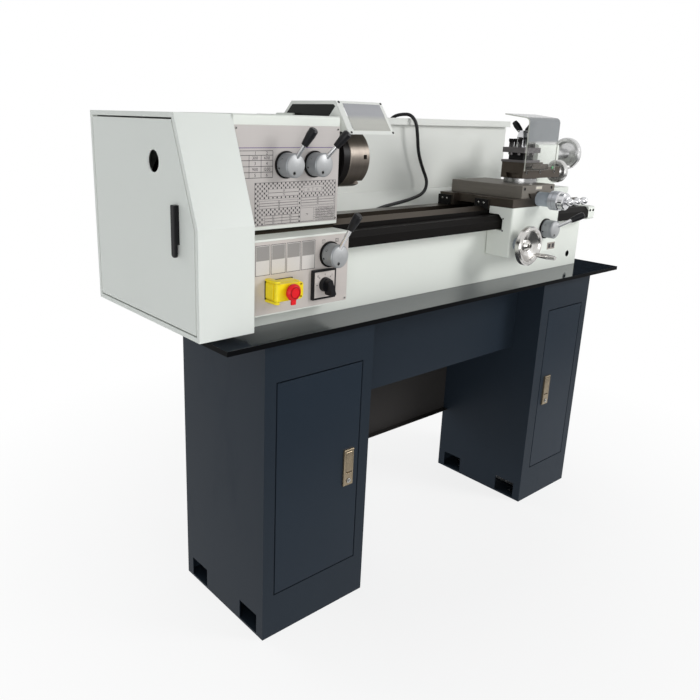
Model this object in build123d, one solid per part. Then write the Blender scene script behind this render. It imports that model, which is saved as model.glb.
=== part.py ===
from build123d import *
import math
import os

# Bench lathe on a two-cabinet stand, in millimetres.
# +X runs from headstock to tailstock, +Y away from the operator, +Z up.
# The origin is on the floor, at the centre of the stand's four outer anchor holes.

# Clearances
running_gap = 0.05
fixed_gap = 0.02
slide_gap = 0.2
free_gap = 0.5

# Stand
stand_length = 1186
stand_depth = 310
left_cabinet_width = 292.5
right_cabinet_width = 239
cabinet_height = 684
cabinet_sheet = 2
foot_sheet = 5
foot_ledge = 62
foot_lip = 24
anchor_inset = 35
anchor_row = 200
anchor_hole_r = 7
notch_width = 64
notch_height = 46
door_bottom = 104
door_height = 482
door_gap = 3
door_depth = 16
left_door_width = 229.5
left_hinge_stile = 31.5
right_door_width = 168
right_hinge_stile = 31
hinge_inset = 6
hinge_pin_r = 2.5
hinge_pin_reach = 9
latch_width = 28
latch_height = 88
latch_thickness = 5
latch_edge = 16
latch_bottom = 300
latch_paddle_width = 18
latch_paddle_height = 52
latch_pin_r = 1
latch_pin_drop = 3.2
latch_top_gap = 1
front_panel_back_set = 81
front_panel_bottom = 468
back_panel_bottom = 198
panel_flange = 20
tray_sheet = 3
tray_hem = 10
tray_left_overhang = 105
tray_right_overhang = 96
tray_side_overhang = 30

# Bed
bed_left = -617
bed_length = 1233
bed_front = -86
bed_width = 162
bed_height = 188
bed_wall = 16
bed_end_wall = 14
bed_rib = 10
bed_rib_count = 6
bed_hole_r = 9
bed_hole_inset = 48
bed_hole_height = 35
vee_front = 18
vee_back = 14
vee_height = 9
front_rail = 48
rear_rail = 40
rail_depth = 26
front_edge_drop = 5
rack_thickness = 10
rack_height = 14
leadscrew_r = 10
leadscrew_stand_off = 21
leadscrew_below_way = 30
guard_sheet = 2.5
guard_depth = 41.5
guard_top_below_way = 11
guard_height = 32
guard_chamfer = 11.5
bracket_length = 33

# Headstock, feed gearbox and end cover
center_height = 131
spindle_y = -5
headstock_length = 257
headstock_front = -85
headstock_depth = 193
headstock_above_spindle = 86
headstock_lift = 3
headstock_wall = 16
headstock_round = 5
gearbox_length = 247
gearbox_front = -138
gearbox_height = 146
gearbox_below_way = 5
plate_sheet = 1.5
upper_plate_height = 187.5
upper_plate_lift = 7
lower_plate_height = 139
lower_plate_lift = 3
plate_edge = 1
cover_depth = 117.7
cover_front = -153
cover_width = 413
cover_above_tray = 13
cover_height = 391
cover_kink = 200
cover_lean = 73
cover_sheet = 2
cover_border = 12
cover_hole_r = 20
pull_width = 14
pull_height = 92
pull_reach = 10
pull_lift = 4
pull_inset = 68
pull_rise = 190

# Spindle, chuck and drive
spindle_r = 24
spindle_bore_r = 13
spindle_tail = 85
nose_flange_r = 50
nose_flange = 17
bearing_r = 40
bearing_width = 18
cap_r = 58
cap_length = 8
cap_to_flange = 7
chuck_r = 62.5
chuck_length = 58
chuck_plate = 18
chuck_bore_r = 17
chuck_key_hole = 9
chuck_key_depth = 15
chuck_turn = 26
jaw_width = 14
jaw_inner_r = 17
jaw_length = 36
jaw_seat = 20
jaw_nose = 22
jaw_step = 12
gear_module = 2
spindle_teeth = 30
idler_teeth = 62
screw_teeth = 38
gear_width = 14
gear_plane = 24
stud_r = 8
arm_thickness = 8
arm_half_width = 17
collar_r = 18
pulley_plane = 50
pulley_width = 24
spindle_pulley_r = 60
motor_pulley_r = 34
groove_depth = 9
belt_width = 12
belt_thickness = 9
motor_behind_bed = 114
motor_below_way = 45
motor_r = 66
motor_length = 200
motor_shaft_r = 10
motor_shaft_reach = 55
motor_bore = 60
motor_stand_off = 14
motor_foot_length = 120
motor_foot_height = 60
terminal_box = 70

# Chuck guard
hood_from_headstock = 15
hood_length = 132
hood_sheet = 2
hood_ahead = 94
hood_front_rise = 52
hood_slope = 47
hood_top = 144
hood_rise = 65
hood_back = 29
hood_back_drop = 29
hood_border = 14
hood_pin_inset = 3
hood_pin_drop = 10
hood_pin_r = 5
hood_ear_r = 13
bracket_sheet = 5

# Levers and switches on the front
hub_r = 23
hub_length = 28
hub_ring_r = 26
hub_ring = 4
lever_rod_r = 4.5
lever_reach = 47
grip_r = 9
grip_length = 36
lever_lean = 32
speed_lever_left_inset = 138
speed_lever_right_inset = 67
speed_lever_drop = 6
speed_lever_left_angle = 14
speed_lever_right_angle = 27
feed_lever_inset = 54.7
feed_lever_rise = 103.7
feed_lever_angle = 4
feed_lever_reach = 66
estop_inset = 34
estop_width = 64
estop_rise = 33.5
estop_height = 34.5
estop_base = 24
estop_lid = 11
estop_ear = 5
estop_pin_r = 2
estop_cap_r = 16
estop_cap = 8
estop_stroke = 4
estop_stem_r = 5
switch_inset = 71
switch_rise = 45.5
switch_size = 60
switch_base = 7
switch_knob_r = 15
switch_knob = 22
switch_blade = 11

# Carriage
carriage_along_bed = 778
carriage_length = 212
apron_ahead = 73
apron_gap = 3
apron_drop = 112
saddle_set_back = 2
saddle_rear_inset = 1
saddle_lower = 11
saddle_top_above_way = 32
saddle_web_inset = 18
saddle_front_wing = 117
saddle_rear_wing = 46
apron_notch_gap = 3.5
wiper = 7
wiper_width = 38
wiper_below_top = 6
handwheel_inset = 29
handwheel_rise = 33
handwheel_r = 49
handwheel_stand_off = 36
carriage_handle = 56
carriage_handle_angle = 232
shaft_seat = 25
half_nut_inset = 151
half_nut_rise = 63
half_nut_angle = 60
half_nut_hub = 27
half_nut_reach = 56
cross_inset = 39
cross_width = 145
cross_set_back = 4
cross_depth = 222
cross_height = 31.5
dovetail_width = 70
dovetail_height = 12
dovetail_undercut = 8
cross_screw_bearing_r = 18
cross_screw_bearing = 38
cross_dial_r = 24
cross_dial = 38
cross_shaft_r = 7
cross_bore = 30
ball_r = 10
ball_pitch = 33

# Compound slide and tool post
pivot_inset = 129
pivot_set_back = 70
swivel_r = 42
swivel_height = 13
pivot_boss_r = 15
pivot_boss = 9
compound_behind_pivot = 40
compound_length = 172
compound_width = 66
compound_height = 40
compound_step = 12
compound_step_x = 87
top_dovetail_width = 26
top_dovetail_height = 13
compound_wheel_r = 31
compound_wheel_reach = 41
compound_wheel_below_top = 28
compound_shaft_r = 6
compound_handle = 22
compound_handle_angle = 60
compound_bearing = 11
compound_end_wall = 14
compound_travel = 30
tool_post_offset = 7
tool_post_size = 70
tool_post_core = 44
tool_post_base = 6
tool_post_slot = 18
tool_post_top = 13
tool_stud_r = 8
tool_stud_rise = 20
tool_bolt = 8
tool_bolt_rise = 21
tool_bolt_inset = 8
clamp_r = 15
clamp_height = 42
clamp_arm_reach = 13
clamp_rise = 48
clamp_turn = 98
shield_ahead = 28.5
shield_gap = 21
shield_length = 136
shield_height = 129.5
shield_rise = 21.5
shield_sheet = 3
shield_roof = 75
shield_roof_rise = 9.5
shield_bend_r = 14
shield_tab = 70

# Tailstock
tailstock_gap = 52
tailstock_length = 104
tailstock_half = 37
tailstock_top_above_spindle = 29
tailstock_base_inset = 5
tailstock_base_length = 120
tailstock_base_front_inset = 12
tailstock_base_rear_inset = 8
tailstock_base_height = 42
quill_r = 16
quill_reach = 20
quill_length = 120
quill_bore_r = 9
tail_wheel_r = 46
tail_wheel_reach = 103
tail_shaft_r = 8
tail_handle = 30
tail_handle_angle = 170
tail_screw_reach = 60
tail_collar = 12
clamp_lever_inset = 55
clamp_lever_length = 90
clamp_plate = 12
clamp_reach = 10

# Splash guard, electrics and cable
splash_overlap = 20
splash_length = 948
splash_behind_bed = 96
splash_sheet = 2
splash_height = 405
splash_hem = 15
splash_hem_depth = 13
splash_bend_rise = 217
splash_foot_gap = 36
splash_foot_rise = 179
splash_flange = 20
box_along_splash = 370
box_length = 190
box_depth = 80
box_rise = 173
box_height = 190
cable_r = 4.5
gland_r = 9
gland_length = 22

# Places worked out from the sizes above
stand_left = -stand_length / 2
stand_right = stand_length / 2
stand_front = -stand_depth / 2
stand_back = stand_depth / 2
tray_z = cabinet_height + tray_sheet
way_z = tray_z + bed_height
bed_right = bed_left + bed_length
bed_back = bed_front + bed_width
spindle_z = way_z + center_height
headstock_right = bed_left + headstock_length
headstock_back = headstock_front + headstock_depth
headstock_top = spindle_z + headstock_above_spindle
headstock_bottom = way_z + headstock_lift
gearbox_right = bed_left + gearbox_length
gearbox_top = way_z - gearbox_below_way
gearbox_bottom = gearbox_top - gearbox_height
screw_y = bed_front - leadscrew_stand_off
screw_z = way_z - leadscrew_below_way
cover_left = bed_left - cover_depth
cover_bottom = tray_z + cover_above_tray
saddle_top = way_z + saddle_top_above_way
cross_bottom = saddle_top + slide_gap
cross_top = cross_bottom + cross_height
swivel_bottom = cross_top + slide_gap
compound_bottom = swivel_bottom + swivel_height + slide_gap
compound_top = compound_bottom + compound_height
post_bottom = compound_top + slide_gap
post_top = post_bottom + tool_post_base + tool_post_slot + tool_post_top
gear_left = bed_left - gear_plane - gear_width
pulley_left = bed_left - pulley_plane - pulley_width
flange_right = headstock_right + cap_length + cap_to_flange + nose_flange
plate_right = flange_right + chuck_plate
chuck_right = plate_right + chuck_length
motor_y = bed_back + motor_behind_bed
motor_z = way_z - motor_below_way
pull_y = cover_front + pull_inset
pull_z = cover_bottom + pull_rise
hood_left = headstock_right + hood_from_headstock
hood_front_y = spindle_y - hood_ahead
hood_front_z = spindle_z + hood_front_rise
hood_top_front_y = hood_front_y + hood_slope
hood_top_back_y = hood_top_front_y + hood_top
hood_top_z = hood_front_z + hood_rise
hood_back_y = hood_top_back_y + hood_back
hood_back_z = hood_top_z - hood_back_drop
hood_pin_y = hood_back_y - hood_pin_inset
hood_pin_z = hood_back_z - hood_pin_drop
speed_lever_left_x = headstock_right - speed_lever_left_inset
speed_lever_right_x = headstock_right - speed_lever_right_inset
speed_lever_z = spindle_z - speed_lever_drop
feed_lever_x = gearbox_right - feed_lever_inset
feed_lever_z = gearbox_bottom + feed_lever_rise
estop_left = bed_left + estop_inset
estop_bottom = gearbox_bottom + estop_rise
switch_x = gearbox_right - switch_inset
switch_z = gearbox_bottom + switch_rise
carriage_left = bed_left + carriage_along_bed
apron_front = bed_front - apron_ahead
apron_back = bed_front - apron_gap
apron_bottom = way_z - apron_drop
saddle_front = apron_front + saddle_set_back
saddle_back = bed_back - saddle_rear_inset
handwheel_x = carriage_left + handwheel_inset
handwheel_z = apron_bottom + handwheel_rise
half_nut_x = carriage_left + half_nut_inset
half_nut_z = apron_bottom + half_nut_rise
cross_left = carriage_left + cross_inset
cross_x = cross_left + cross_width / 2
cross_front = saddle_front + cross_set_back
pivot_x = carriage_left + pivot_inset
compound_y = cross_front + pivot_set_back
compound_left = pivot_x - compound_behind_pivot
compound_wheel_x = compound_left + compound_length + compound_wheel_reach
tool_post_x = pivot_x - tool_post_offset
shield_left = compound_left - shield_ahead
shield_front = compound_y - compound_width / 2 - shield_gap
shield_bottom = compound_bottom + shield_rise
tailstock_left = carriage_left + carriage_length + tailstock_gap
tailstock_front = spindle_y - tailstock_half
tailstock_base_left = tailstock_left + tailstock_base_inset
tailstock_base_front = bed_front + tailstock_base_front_inset
tailstock_base_back = bed_back - tailstock_base_rear_inset
tail_wheel_x = tailstock_left + tailstock_length + tail_wheel_reach
clamp_lever_x = tailstock_left + clamp_lever_inset
splash_left = headstock_right - splash_overlap
splash_wall_y = bed_back + splash_behind_bed
splash_top_z = tray_z + splash_height
splash_bend_z = tray_z + splash_bend_rise
splash_foot_y = bed_back + splash_foot_gap
splash_foot_z = tray_z + splash_foot_rise
box_left = splash_left + box_along_splash
box_bottom = tray_z + box_rise


def span(x, y, z):
    """A block from its lowest to its highest corner along each axis."""
    limits = (x, y, z)
    corner = [low for low, high in limits]
    size = [high - low for low, high in limits]
    return Pos(*corner) * Box(*size, align=(Align.MIN, Align.MIN, Align.MIN))


def rod(start, direction, radius, length):
    """A round bar from a start point along a direction."""
    seat = (Align.CENTER, Align.CENTER, Align.MIN)
    return Plane(start, z_dir=direction) * Cylinder(radius, length, align=seat)


def ring(start, direction, outer, inner, length):
    return rod(start, direction, outer, length) - rod(start, direction, inner, length)


def rod_x(x, y, z, radius):
    return rod((x[0], y, z), (1, 0, 0), radius, x[1] - x[0])


def ring_x(x, y, z, outer, inner):
    return rod_x(x, y, z, outer) - rod_x(x, y, z, inner)


def rod_y(x, y, z, radius):
    return rod((x, y[0], z), (0, 1, 0), radius, y[1] - y[0])


def rod_z(x, y, z, radius):
    return rod((x, y, z[0]), (0, 0, 1), radius, z[1] - z[0])


def along_x(outline, x):
    """An outline of (y, z) points drawn out along X."""
    face = Plane.YZ.offset(x[0]) * make_face(Polyline(*outline, close=True))
    return extrude(face, amount=x[1] - x[0], dir=(1, 0, 0))


def along_y(outline, y):
    """An outline of (x, z) points drawn out along Y."""
    face = Plane.XZ.offset(-y[0]) * make_face(Polyline(*outline, close=True))
    return extrude(face, amount=y[1] - y[0], dir=(0, 1, 0))


def along_z(outline, z):
    """An outline of (x, y) points drawn out along Z."""
    face = Plane.XY.offset(z[0]) * make_face(Polyline(*outline, close=True))
    return extrude(face, amount=z[1] - z[0], dir=(0, 0, 1))


def turned(origin, direction, outline):
    """A turned piece, from points of (radius, distance along the axis)."""
    axis = Vector(*direction).normalized()
    side = Vector(0, 0, 1) if abs(axis.Z) < 0.5 else Vector(1, 0, 0)
    side = (side - axis * side.dot(axis)).normalized()
    plane = Plane(origin, x_dir=side, z_dir=side.cross(axis))
    face = plane * make_face(Polyline(*outline, close=True))
    return revolve(face, Axis(origin, direction))


def group(*pieces):
    """Separate solids of one node."""
    return Compound([solid for piece in pieces for solid in piece.solids()])


def inset(outline, distance):
    """A convex outline, listed anticlockwise, with every side moved inwards."""
    sides = []
    for start, end in zip(outline, outline[1:] + outline[:1]):
        along = (end[0] - start[0], end[1] - start[1])
        length = math.hypot(*along)
        normal = (-along[1] / length, along[0] / length)
        sides.append((normal, normal[0] * start[0] + normal[1] * start[1] + distance))
    points = []
    for (n1, d1), (n2, d2) in zip(sides[-1:] + sides[:-1], sides):
        det = n1[0] * n2[1] - n1[1] * n2[0]
        points.append(((d1 * n2[1] - d2 * n1[1]) / det, (n1[0] * d2 - n2[0] * d1) / det))
    return points


# Stand
def door_span(left, width):
    return (left, left + width), (door_bottom, door_bottom + door_height)


def widened(limits, by):
    return limits[0] - by, limits[1] + by


def cabinet(left, width, door_left, door_width, hinge_x):
    right = left + width
    x = (left, right)
    y = (stand_front, stand_back)
    inner_x = widened(x, -cabinet_sheet)
    inner_y = widened(y, -cabinet_sheet)
    shell = span(x, y, (0, cabinet_height))
    shell -= span(inner_x, inner_y, (foot_sheet, cabinet_height - cabinet_sheet))
    shell -= span(widened(x, -foot_ledge), widened(y, -foot_lip), (0, foot_sheet))
    for row in (-anchor_row / 2, anchor_row / 2):
        notch = (row - notch_width / 2, row + notch_width / 2)
        shell -= span(x, notch, (foot_sheet, foot_sheet + notch_height))
        for hole_x in (left + anchor_inset, right - anchor_inset):
            shell -= rod_z(hole_x, row, (0, foot_sheet), anchor_hole_r)
    door_x, door_z = door_span(door_left, door_width)
    mouth_x = widened(door_x, door_gap)
    mouth_z = widened(door_z, door_gap)
    jamb_y = (stand_front, stand_front + door_depth)
    jamb = span(widened(mouth_x, cabinet_sheet), jamb_y, widened(mouth_z, cabinet_sheet))
    shell += jamb
    shell -= span(mouth_x, jamb_y, mouth_z)
    pin_y = stand_front + hinge_inset
    for end, reach in ((mouth_z[0], hinge_pin_reach), (mouth_z[1] - hinge_pin_reach, hinge_pin_reach)):
        shell += rod_z(hinge_x, pin_y, (end, end + reach), hinge_pin_r)
    return shell


def latch_limits(latch_left):
    x = (latch_left, latch_left + latch_width)
    z = (latch_bottom, latch_bottom + latch_height)
    middle = latch_left + latch_width / 2
    window_x = (middle - latch_paddle_width / 2, middle + latch_paddle_width / 2)
    top = z[1] - (latch_width - latch_paddle_width) / 2
    return x, z, window_x, (top - latch_paddle_height, top)


def cabinet_door(left, width, hinge_x, latch_left):
    """A folded door pan with its latch plate; the latch paddle is a piece of its own."""
    x, z = door_span(left, width)
    pan = span(x, (stand_front, stand_front + door_depth), z)
    inside = (stand_front + cabinet_sheet, stand_front + door_depth)
    pan -= span(widened(x, -cabinet_sheet), inside, widened(z, -cabinet_sheet))
    pan -= rod_z(hinge_x, stand_front + hinge_inset, z, hinge_pin_r + running_gap)
    latch_x, latch_z, window_x, window_z = latch_limits(latch_left)
    plate_y = (stand_front - latch_thickness, stand_front)
    plate = span(latch_x, plate_y, latch_z)
    plate = chamfer(plate.faces().sort_by(Axis.Y)[0].edges(), latch_thickness / 4)
    hollow = (stand_front - latch_thickness, stand_front + cabinet_sheet)
    plate -= span(window_x, plate_y, window_z)
    pan -= span(window_x, hollow, window_z)
    pin_z = window_z[1] - latch_pin_drop
    pin_y = stand_front - latch_thickness / 2
    pin_reach = widened(window_x, latch_thickness / 2)
    plate -= rod_x(pin_reach, pin_y, pin_z, latch_pin_r + running_gap)
    return group(pan, plate)


def latch_paddle(latch_left):
    latch_x, latch_z, window_x, window_z = latch_limits(latch_left)
    y = (stand_front - latch_thickness, stand_front)
    paddle = span(widened(window_x, -free_gap), y, (window_z[0] + free_gap, window_z[1] - latch_top_gap))
    crown = paddle.edges().filter_by(Axis.X).group_by(Axis.Z)[-1]
    paddle = fillet(crown, latch_thickness * 0.4)
    tip = paddle.edges().filter_by(Axis.X).group_by(Axis.Z)[0].sort_by(Axis.Y)[0]
    paddle = chamfer(tip, latch_thickness / 2)
    pin_z = window_z[1] - latch_pin_drop
    pin_y = stand_front - latch_thickness / 2
    return paddle + rod_x(widened(window_x, latch_thickness / 2 - free_gap), pin_y, pin_z, latch_pin_r)


left_cabinet_right = stand_left + left_cabinet_width
right_cabinet_left = stand_right - right_cabinet_width
left_door_left = stand_left + left_hinge_stile
left_hinge_x = left_door_left + hinge_inset
right_door_left = stand_right - right_hinge_stile - right_door_width
right_hinge_x = right_door_left + right_door_width - hinge_inset
left_latch_left = left_door_left + left_door_width - latch_edge - latch_width
right_latch_left = right_door_left + latch_edge


def stand_panels():
    x = (left_cabinet_right, right_cabinet_left)
    front_y = stand_front + front_panel_back_set
    front = span(x, (front_y, front_y + cabinet_sheet), (front_panel_bottom, cabinet_height))
    front_fold = (front_panel_bottom, front_panel_bottom + cabinet_sheet)
    front += span(x, (front_y, front_y + panel_flange), front_fold)
    back = span(x, (stand_back - cabinet_sheet, stand_back), (back_panel_bottom, cabinet_height))
    back_fold = (back_panel_bottom, back_panel_bottom + cabinet_sheet)
    back += span(x, (stand_back - panel_flange, stand_back), back_fold)
    return group(front, back)


def chip_tray():
    x = (stand_left - tray_left_overhang, stand_right + tray_right_overhang)
    y = (stand_front - tray_side_overhang, stand_back + tray_side_overhang)
    tray = span(x, y, (tray_z - tray_hem, tray_z))
    under = (tray_z - tray_hem, cabinet_height)
    return tray - span(widened(x, -tray_sheet), widened(y, -tray_sheet), under)


# Bed
vee_apex_y = bed_front + vee_front


def vee_outline(by):
    """The inverted vee of the front way, grown by a clearance."""
    low = way_z - front_edge_drop - by
    return [
        (bed_front - by, low),
        (bed_front - by, way_z - front_edge_drop + by),
        (vee_apex_y, way_z + vee_height + 1.5 * by),
        (vee_apex_y + vee_back + by, way_z + by),
        (vee_apex_y + vee_back + by, low),
    ]


def bed():
    rail_low = way_z - rail_depth
    neck_low = rail_low - (front_rail - bed_wall) / 2
    front = [
        (bed_front, tray_z),
        (bed_front, way_z - front_edge_drop),
        (vee_apex_y, way_z + vee_height),
        (vee_apex_y + vee_back, way_z),
        (bed_front + front_rail, way_z),
        (bed_front + front_rail, rail_low),
        (bed_front + bed_wall, neck_low),
        (bed_front + bed_wall, tray_z),
    ]
    rear = [
        (bed_back, tray_z),
        (bed_back, way_z),
        (bed_back - rear_rail, way_z),
        (bed_back - rear_rail, rail_low),
        (bed_back - bed_wall, neck_low),
        (bed_back - bed_wall, tray_z),
    ]
    x = (bed_left, bed_right)
    casting = along_x(front, x) + along_x(rear, x)
    between = (bed_front + bed_wall / 2, bed_back - bed_wall / 2)
    pitch = (bed_length - bed_end_wall) / (bed_rib_count + 1)
    for index in range(bed_rib_count + 2):
        wall = bed_end_wall if index in (0, bed_rib_count + 1) else bed_rib
        rib_left = min(bed_left + index * pitch, bed_right - wall)
        casting += span((rib_left, rib_left + wall), between, (tray_z, neck_low))
    hole_z = tray_z + bed_hole_height
    for hole_x in (bed_left + bed_hole_inset / 2, bed_right - bed_hole_inset):
        casting -= rod_y(hole_x, (bed_front, bed_front + bed_wall), hole_z, bed_hole_r)
    rack_top = way_z - guard_top_below_way - guard_sheet
    rack_y = (bed_front - rack_thickness, bed_front)
    rack_x = (gearbox_right, bed_right - bracket_length - slide_gap)
    rack = span(rack_x, rack_y, (rack_top - rack_height, rack_top))
    return group(casting, rack)


def leadscrew():
    return rod_x((gear_left, bed_right), screw_y, screw_z, leadscrew_r)


def guard_outline(by):
    top = way_z - guard_top_below_way + by
    front = bed_front - guard_depth - by
    bend = guard_chamfer + by * (math.sqrt(2) - 1) * 0.5
    return [
        (bed_front, top),
        (front + bend, top),
        (front, top - bend),
        (front, way_z - guard_top_below_way - guard_height - max(by, 0)),
    ]


def leadscrew_guard():
    skin = guard_outline(0) + guard_outline(-guard_sheet)[::-1]
    return along_x(skin, (gearbox_right, bed_right - bracket_length))


def leadscrew_bracket():
    x = (bed_right - bracket_length, bed_right)
    z = (screw_z - leadscrew_r - 8, way_z - guard_top_below_way)
    block = span(x, (bed_front - guard_depth, bed_front), z)
    block = fillet(block.edges().filter_by(Axis.X).group_by(Axis.Y)[0], 6)
    return block - rod_x(x, screw_y, screw_z, leadscrew_r + running_gap)


# Headstock
def headstock():
    x = (bed_left, headstock_right)
    y = (headstock_front, headstock_back)
    body = span(x, y, (headstock_bottom, headstock_top))
    body = fillet(body.edges().filter_by(Axis.X).group_by(Axis.Z)[-1], headstock_round)
    lip_y = (headstock_front + 10, bed_back)
    body += span(x, lip_y, (way_z, headstock_bottom))
    body -= along_x(vee_outline(slide_gap), x)
    hollow_z = (headstock_bottom + headstock_wall, headstock_top - headstock_wall)
    body -= span(widened(x, -headstock_wall), widened(y, -headstock_wall), hollow_z)
    return body - rod_x(x, spindle_y, spindle_z, bearing_r + fixed_gap)


def idler_center():
    """Where the idler meshes with both the spindle gear and the leadscrew gear."""
    first = gear_module * (spindle_teeth + idler_teeth) / 2
    second = gear_module * (idler_teeth + screw_teeth) / 2
    dy = screw_y - spindle_y
    dz = screw_z - spindle_z
    apart = math.hypot(dy, dz)
    along = (first ** 2 - second ** 2 + apart ** 2) / (2 * apart)
    off = math.sqrt(max(first ** 2 - along ** 2, 0))
    y = spindle_y + (dy * along - dz * off) / apart
    z = spindle_z + (dz * along + dy * off) / apart
    return y, z


def gearbox():
    x = (bed_left, gearbox_right)
    case = span(x, (gearbox_front, bed_front), (gearbox_bottom, gearbox_top))
    case = fillet(case.faces().sort_by(Axis.Y)[0].edges().filter_by(Axis.Z), 4)
    case -= rod_x(x, screw_y, screw_z, leadscrew_r + running_gap)
    idler_y, idler_z = idler_center()
    arm_x = (gear_left + gear_width + 1, gear_left + gear_width + 1 + arm_thickness)
    away = math.atan2(idler_z - screw_z, idler_y - screw_y)
    length = math.hypot(idler_z - screw_z, idler_y - screw_y)
    place = Pos(arm_x[0], screw_y, screw_z) * Rot(math.degrees(away), 0, 0)
    flat = (Align.MIN, Align.MIN, Align.CENTER)
    arm = place * (Pos(0, 0, 0) * Box(arm_thickness, length, 2 * arm_half_width, align=flat))
    arm += rod_x(arm_x, idler_y, idler_z, arm_half_width)
    arm += rod_x((arm_x[0], bed_left), screw_y, screw_z, collar_r)
    arm -= rod_x((arm_x[0], bed_left), screw_y, screw_z, leadscrew_r + free_gap)
    arm += rod_x((gear_left - 4, arm_x[1]), idler_y, idler_z, stud_r)
    return group(case, arm)


def control_plates():
    upper_y = (headstock_front - plate_sheet, headstock_front)
    upper_low = headstock_bottom + upper_plate_lift
    upper_x = (bed_left, headstock_right - plate_edge)
    upper = span(upper_x, upper_y, (upper_low, upper_low + upper_plate_height))
    lower_y = (gearbox_front - plate_sheet, gearbox_front)
    lower_low = gearbox_bottom + lower_plate_lift
    lower_x = (bed_left, gearbox_right - 4 * plate_edge)
    lower = span(lower_x, lower_y, (lower_low, lower_low + lower_plate_height))
    return group(upper, lower)


cover_outline = [
    (cover_front, cover_bottom),
    (cover_front + cover_width, cover_bottom),
    (cover_front + cover_width, cover_bottom + cover_height),
    (cover_front + cover_lean, cover_bottom + cover_height),
    (cover_front, cover_bottom + cover_kink),
]
cover_hinge_x = cover_left + hinge_inset
cover_hinge_y = cover_front + cover_width - cover_border - hinge_inset
cover_door_low = cover_bottom + cover_border
cover_door_high = cover_bottom + cover_height - cover_border


def end_cover():
    inner = inset(cover_outline, cover_sheet)
    shell = along_x(cover_outline, (cover_left, bed_left))
    shell -= along_x(inner, (cover_left + cover_sheet, bed_left - cover_sheet))
    mouth = inset(cover_outline, cover_border - door_gap)
    jamb_x = (cover_left, cover_left + door_depth)
    shell += along_x(inset(cover_outline, cover_border - door_gap - cover_sheet), jamb_x)
    shell -= along_x(mouth, jamb_x)
    back_x = (bed_left - cover_sheet, bed_left)
    idler_y, idler_z = idler_center()
    shell -= rod_x(back_x, spindle_y, spindle_z, bearing_r + 2)
    shell -= rod_x(back_x, screw_y, screw_z, collar_r + 1)
    shell -= rod_x(back_x, motor_y, motor_z, motor_shaft_r + 4)
    for end in (cover_door_low - door_gap, cover_door_high + door_gap - hinge_pin_reach):
        shell += rod_z(cover_hinge_x, cover_hinge_y, (end, end + hinge_pin_reach), hinge_pin_r)
    return shell


def cover_door():
    outline = inset(cover_outline, cover_border)
    pan = along_x(outline, (cover_left, cover_left + door_depth))
    pan -= along_x(inset(outline, cover_sheet), (cover_left + cover_sheet, cover_left + door_depth))
    pan -= rod_x((cover_left, cover_left + cover_sheet), spindle_y, spindle_z, cover_hole_r)
    pan -= rod_z(cover_hinge_x, cover_hinge_y, (cover_door_low, cover_door_high), hinge_pin_r + running_gap)
    pull_x = (cover_left - pull_reach, cover_left)
    y = (pull_y - pull_width / 2, pull_y + pull_width / 2)
    z = (pull_z - pull_height / 2, pull_z + pull_height / 2)
    pull = span(pull_x, y, z)
    pull = fillet(pull.edges().filter_by(Axis.X).group_by(Axis.Z)[0], pull_width * 0.4)
    pull = chamfer(pull.faces().sort_by(Axis.X)[0].edges(), pull_width / 10)
    pull -= span((cover_left - pull_lift, cover_left), y, (z[0], z[0] + pull_height / 4))
    return group(pan, pull)


# Spindle, gears, belt and motor
def gear(teeth, bore, x, center, phase):
    """A spur gear with straight-flanked teeth; phase turns it, in degrees."""
    pitch_r = gear_module * teeth / 2
    tip_r = pitch_r + 0.8 * gear_module
    root_r = pitch_r - 1.1 * gear_module
    step = 2 * math.pi / teeth
    points = []
    for tooth in range(teeth):
        middle = math.radians(phase) + tooth * step
        corners = ((-0.30, root_r), (-0.12, tip_r), (0.12, tip_r), (0.30, root_r))
        for share, radius in corners:
            angle = middle + share * step
            points.append((center[0] + radius * math.cos(angle), center[1] + radius * math.sin(angle)))
    return along_x(points, x) - rod_x(x, center[0], center[1], bore)


gear_x = (gear_left, gear_left + gear_width)
pulley_x = (pulley_left, pulley_left + pulley_width)


def bearing_of(center_from, center_to):
    return math.degrees(math.atan2(center_to[1] - center_from[1], center_to[0] - center_from[0]))


def pulley(center, radius, bore):
    middle = pulley_width / 2
    half = belt_width / 2 + 1
    outline = [
        (bore, 0),
        (radius, 0),
        (radius, middle - half),
        (radius - groove_depth, middle - half + 2),
        (radius - groove_depth, middle + half - 2),
        (radius, middle + half),
        (radius, pulley_width),
        (bore, pulley_width),
    ]
    return turned((pulley_left, center[0], center[1]), (1, 0, 0), outline)


spindle_center = (spindle_y, spindle_z)
screw_center = (screw_y, screw_z)
motor_center = (motor_y, motor_z)


def spindle():
    tail = bed_left - spindle_tail
    body = rod_x((tail, flange_right), spindle_y, spindle_z, spindle_r)
    body += rod_x((flange_right - nose_flange, flange_right), spindle_y, spindle_z, nose_flange_r)
    return body - rod_x((tail, flange_right), spindle_y, spindle_z, spindle_bore_r)


def spindle_bearings():
    inner = spindle_r + running_gap
    rear_x = (bed_left, bed_left + bearing_width)
    front_x = (headstock_right - bearing_width, headstock_right)
    cap_x = (headstock_right, headstock_right + cap_length)
    rear = ring_x(rear_x, spindle_y, spindle_z, bearing_r, inner)
    front = ring_x(front_x, spindle_y, spindle_z, bearing_r, inner)
    cap = ring_x(cap_x, spindle_y, spindle_z, cap_r, spindle_r + 2)
    cap = chamfer(cap.edges().filter_by(GeomType.CIRCLE).group_by(Axis.X)[-1].sort_by(SortBy.LENGTH)[-1], 3)
    return group(rear, front, cap)


def spindle_drive():
    bore = spindle_r + fixed_gap
    turn = bearing_of(spindle_center, idler_center())
    wheel = gear(spindle_teeth, bore, gear_x, spindle_center, turn)
    return group(wheel, pulley(spindle_center, spindle_pulley_r, bore))


def idler_gear():
    center = idler_center()
    turn = bearing_of(center, spindle_center)
    return gear(idler_teeth, stud_r + running_gap, gear_x, center, turn + 180 / idler_teeth)


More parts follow.
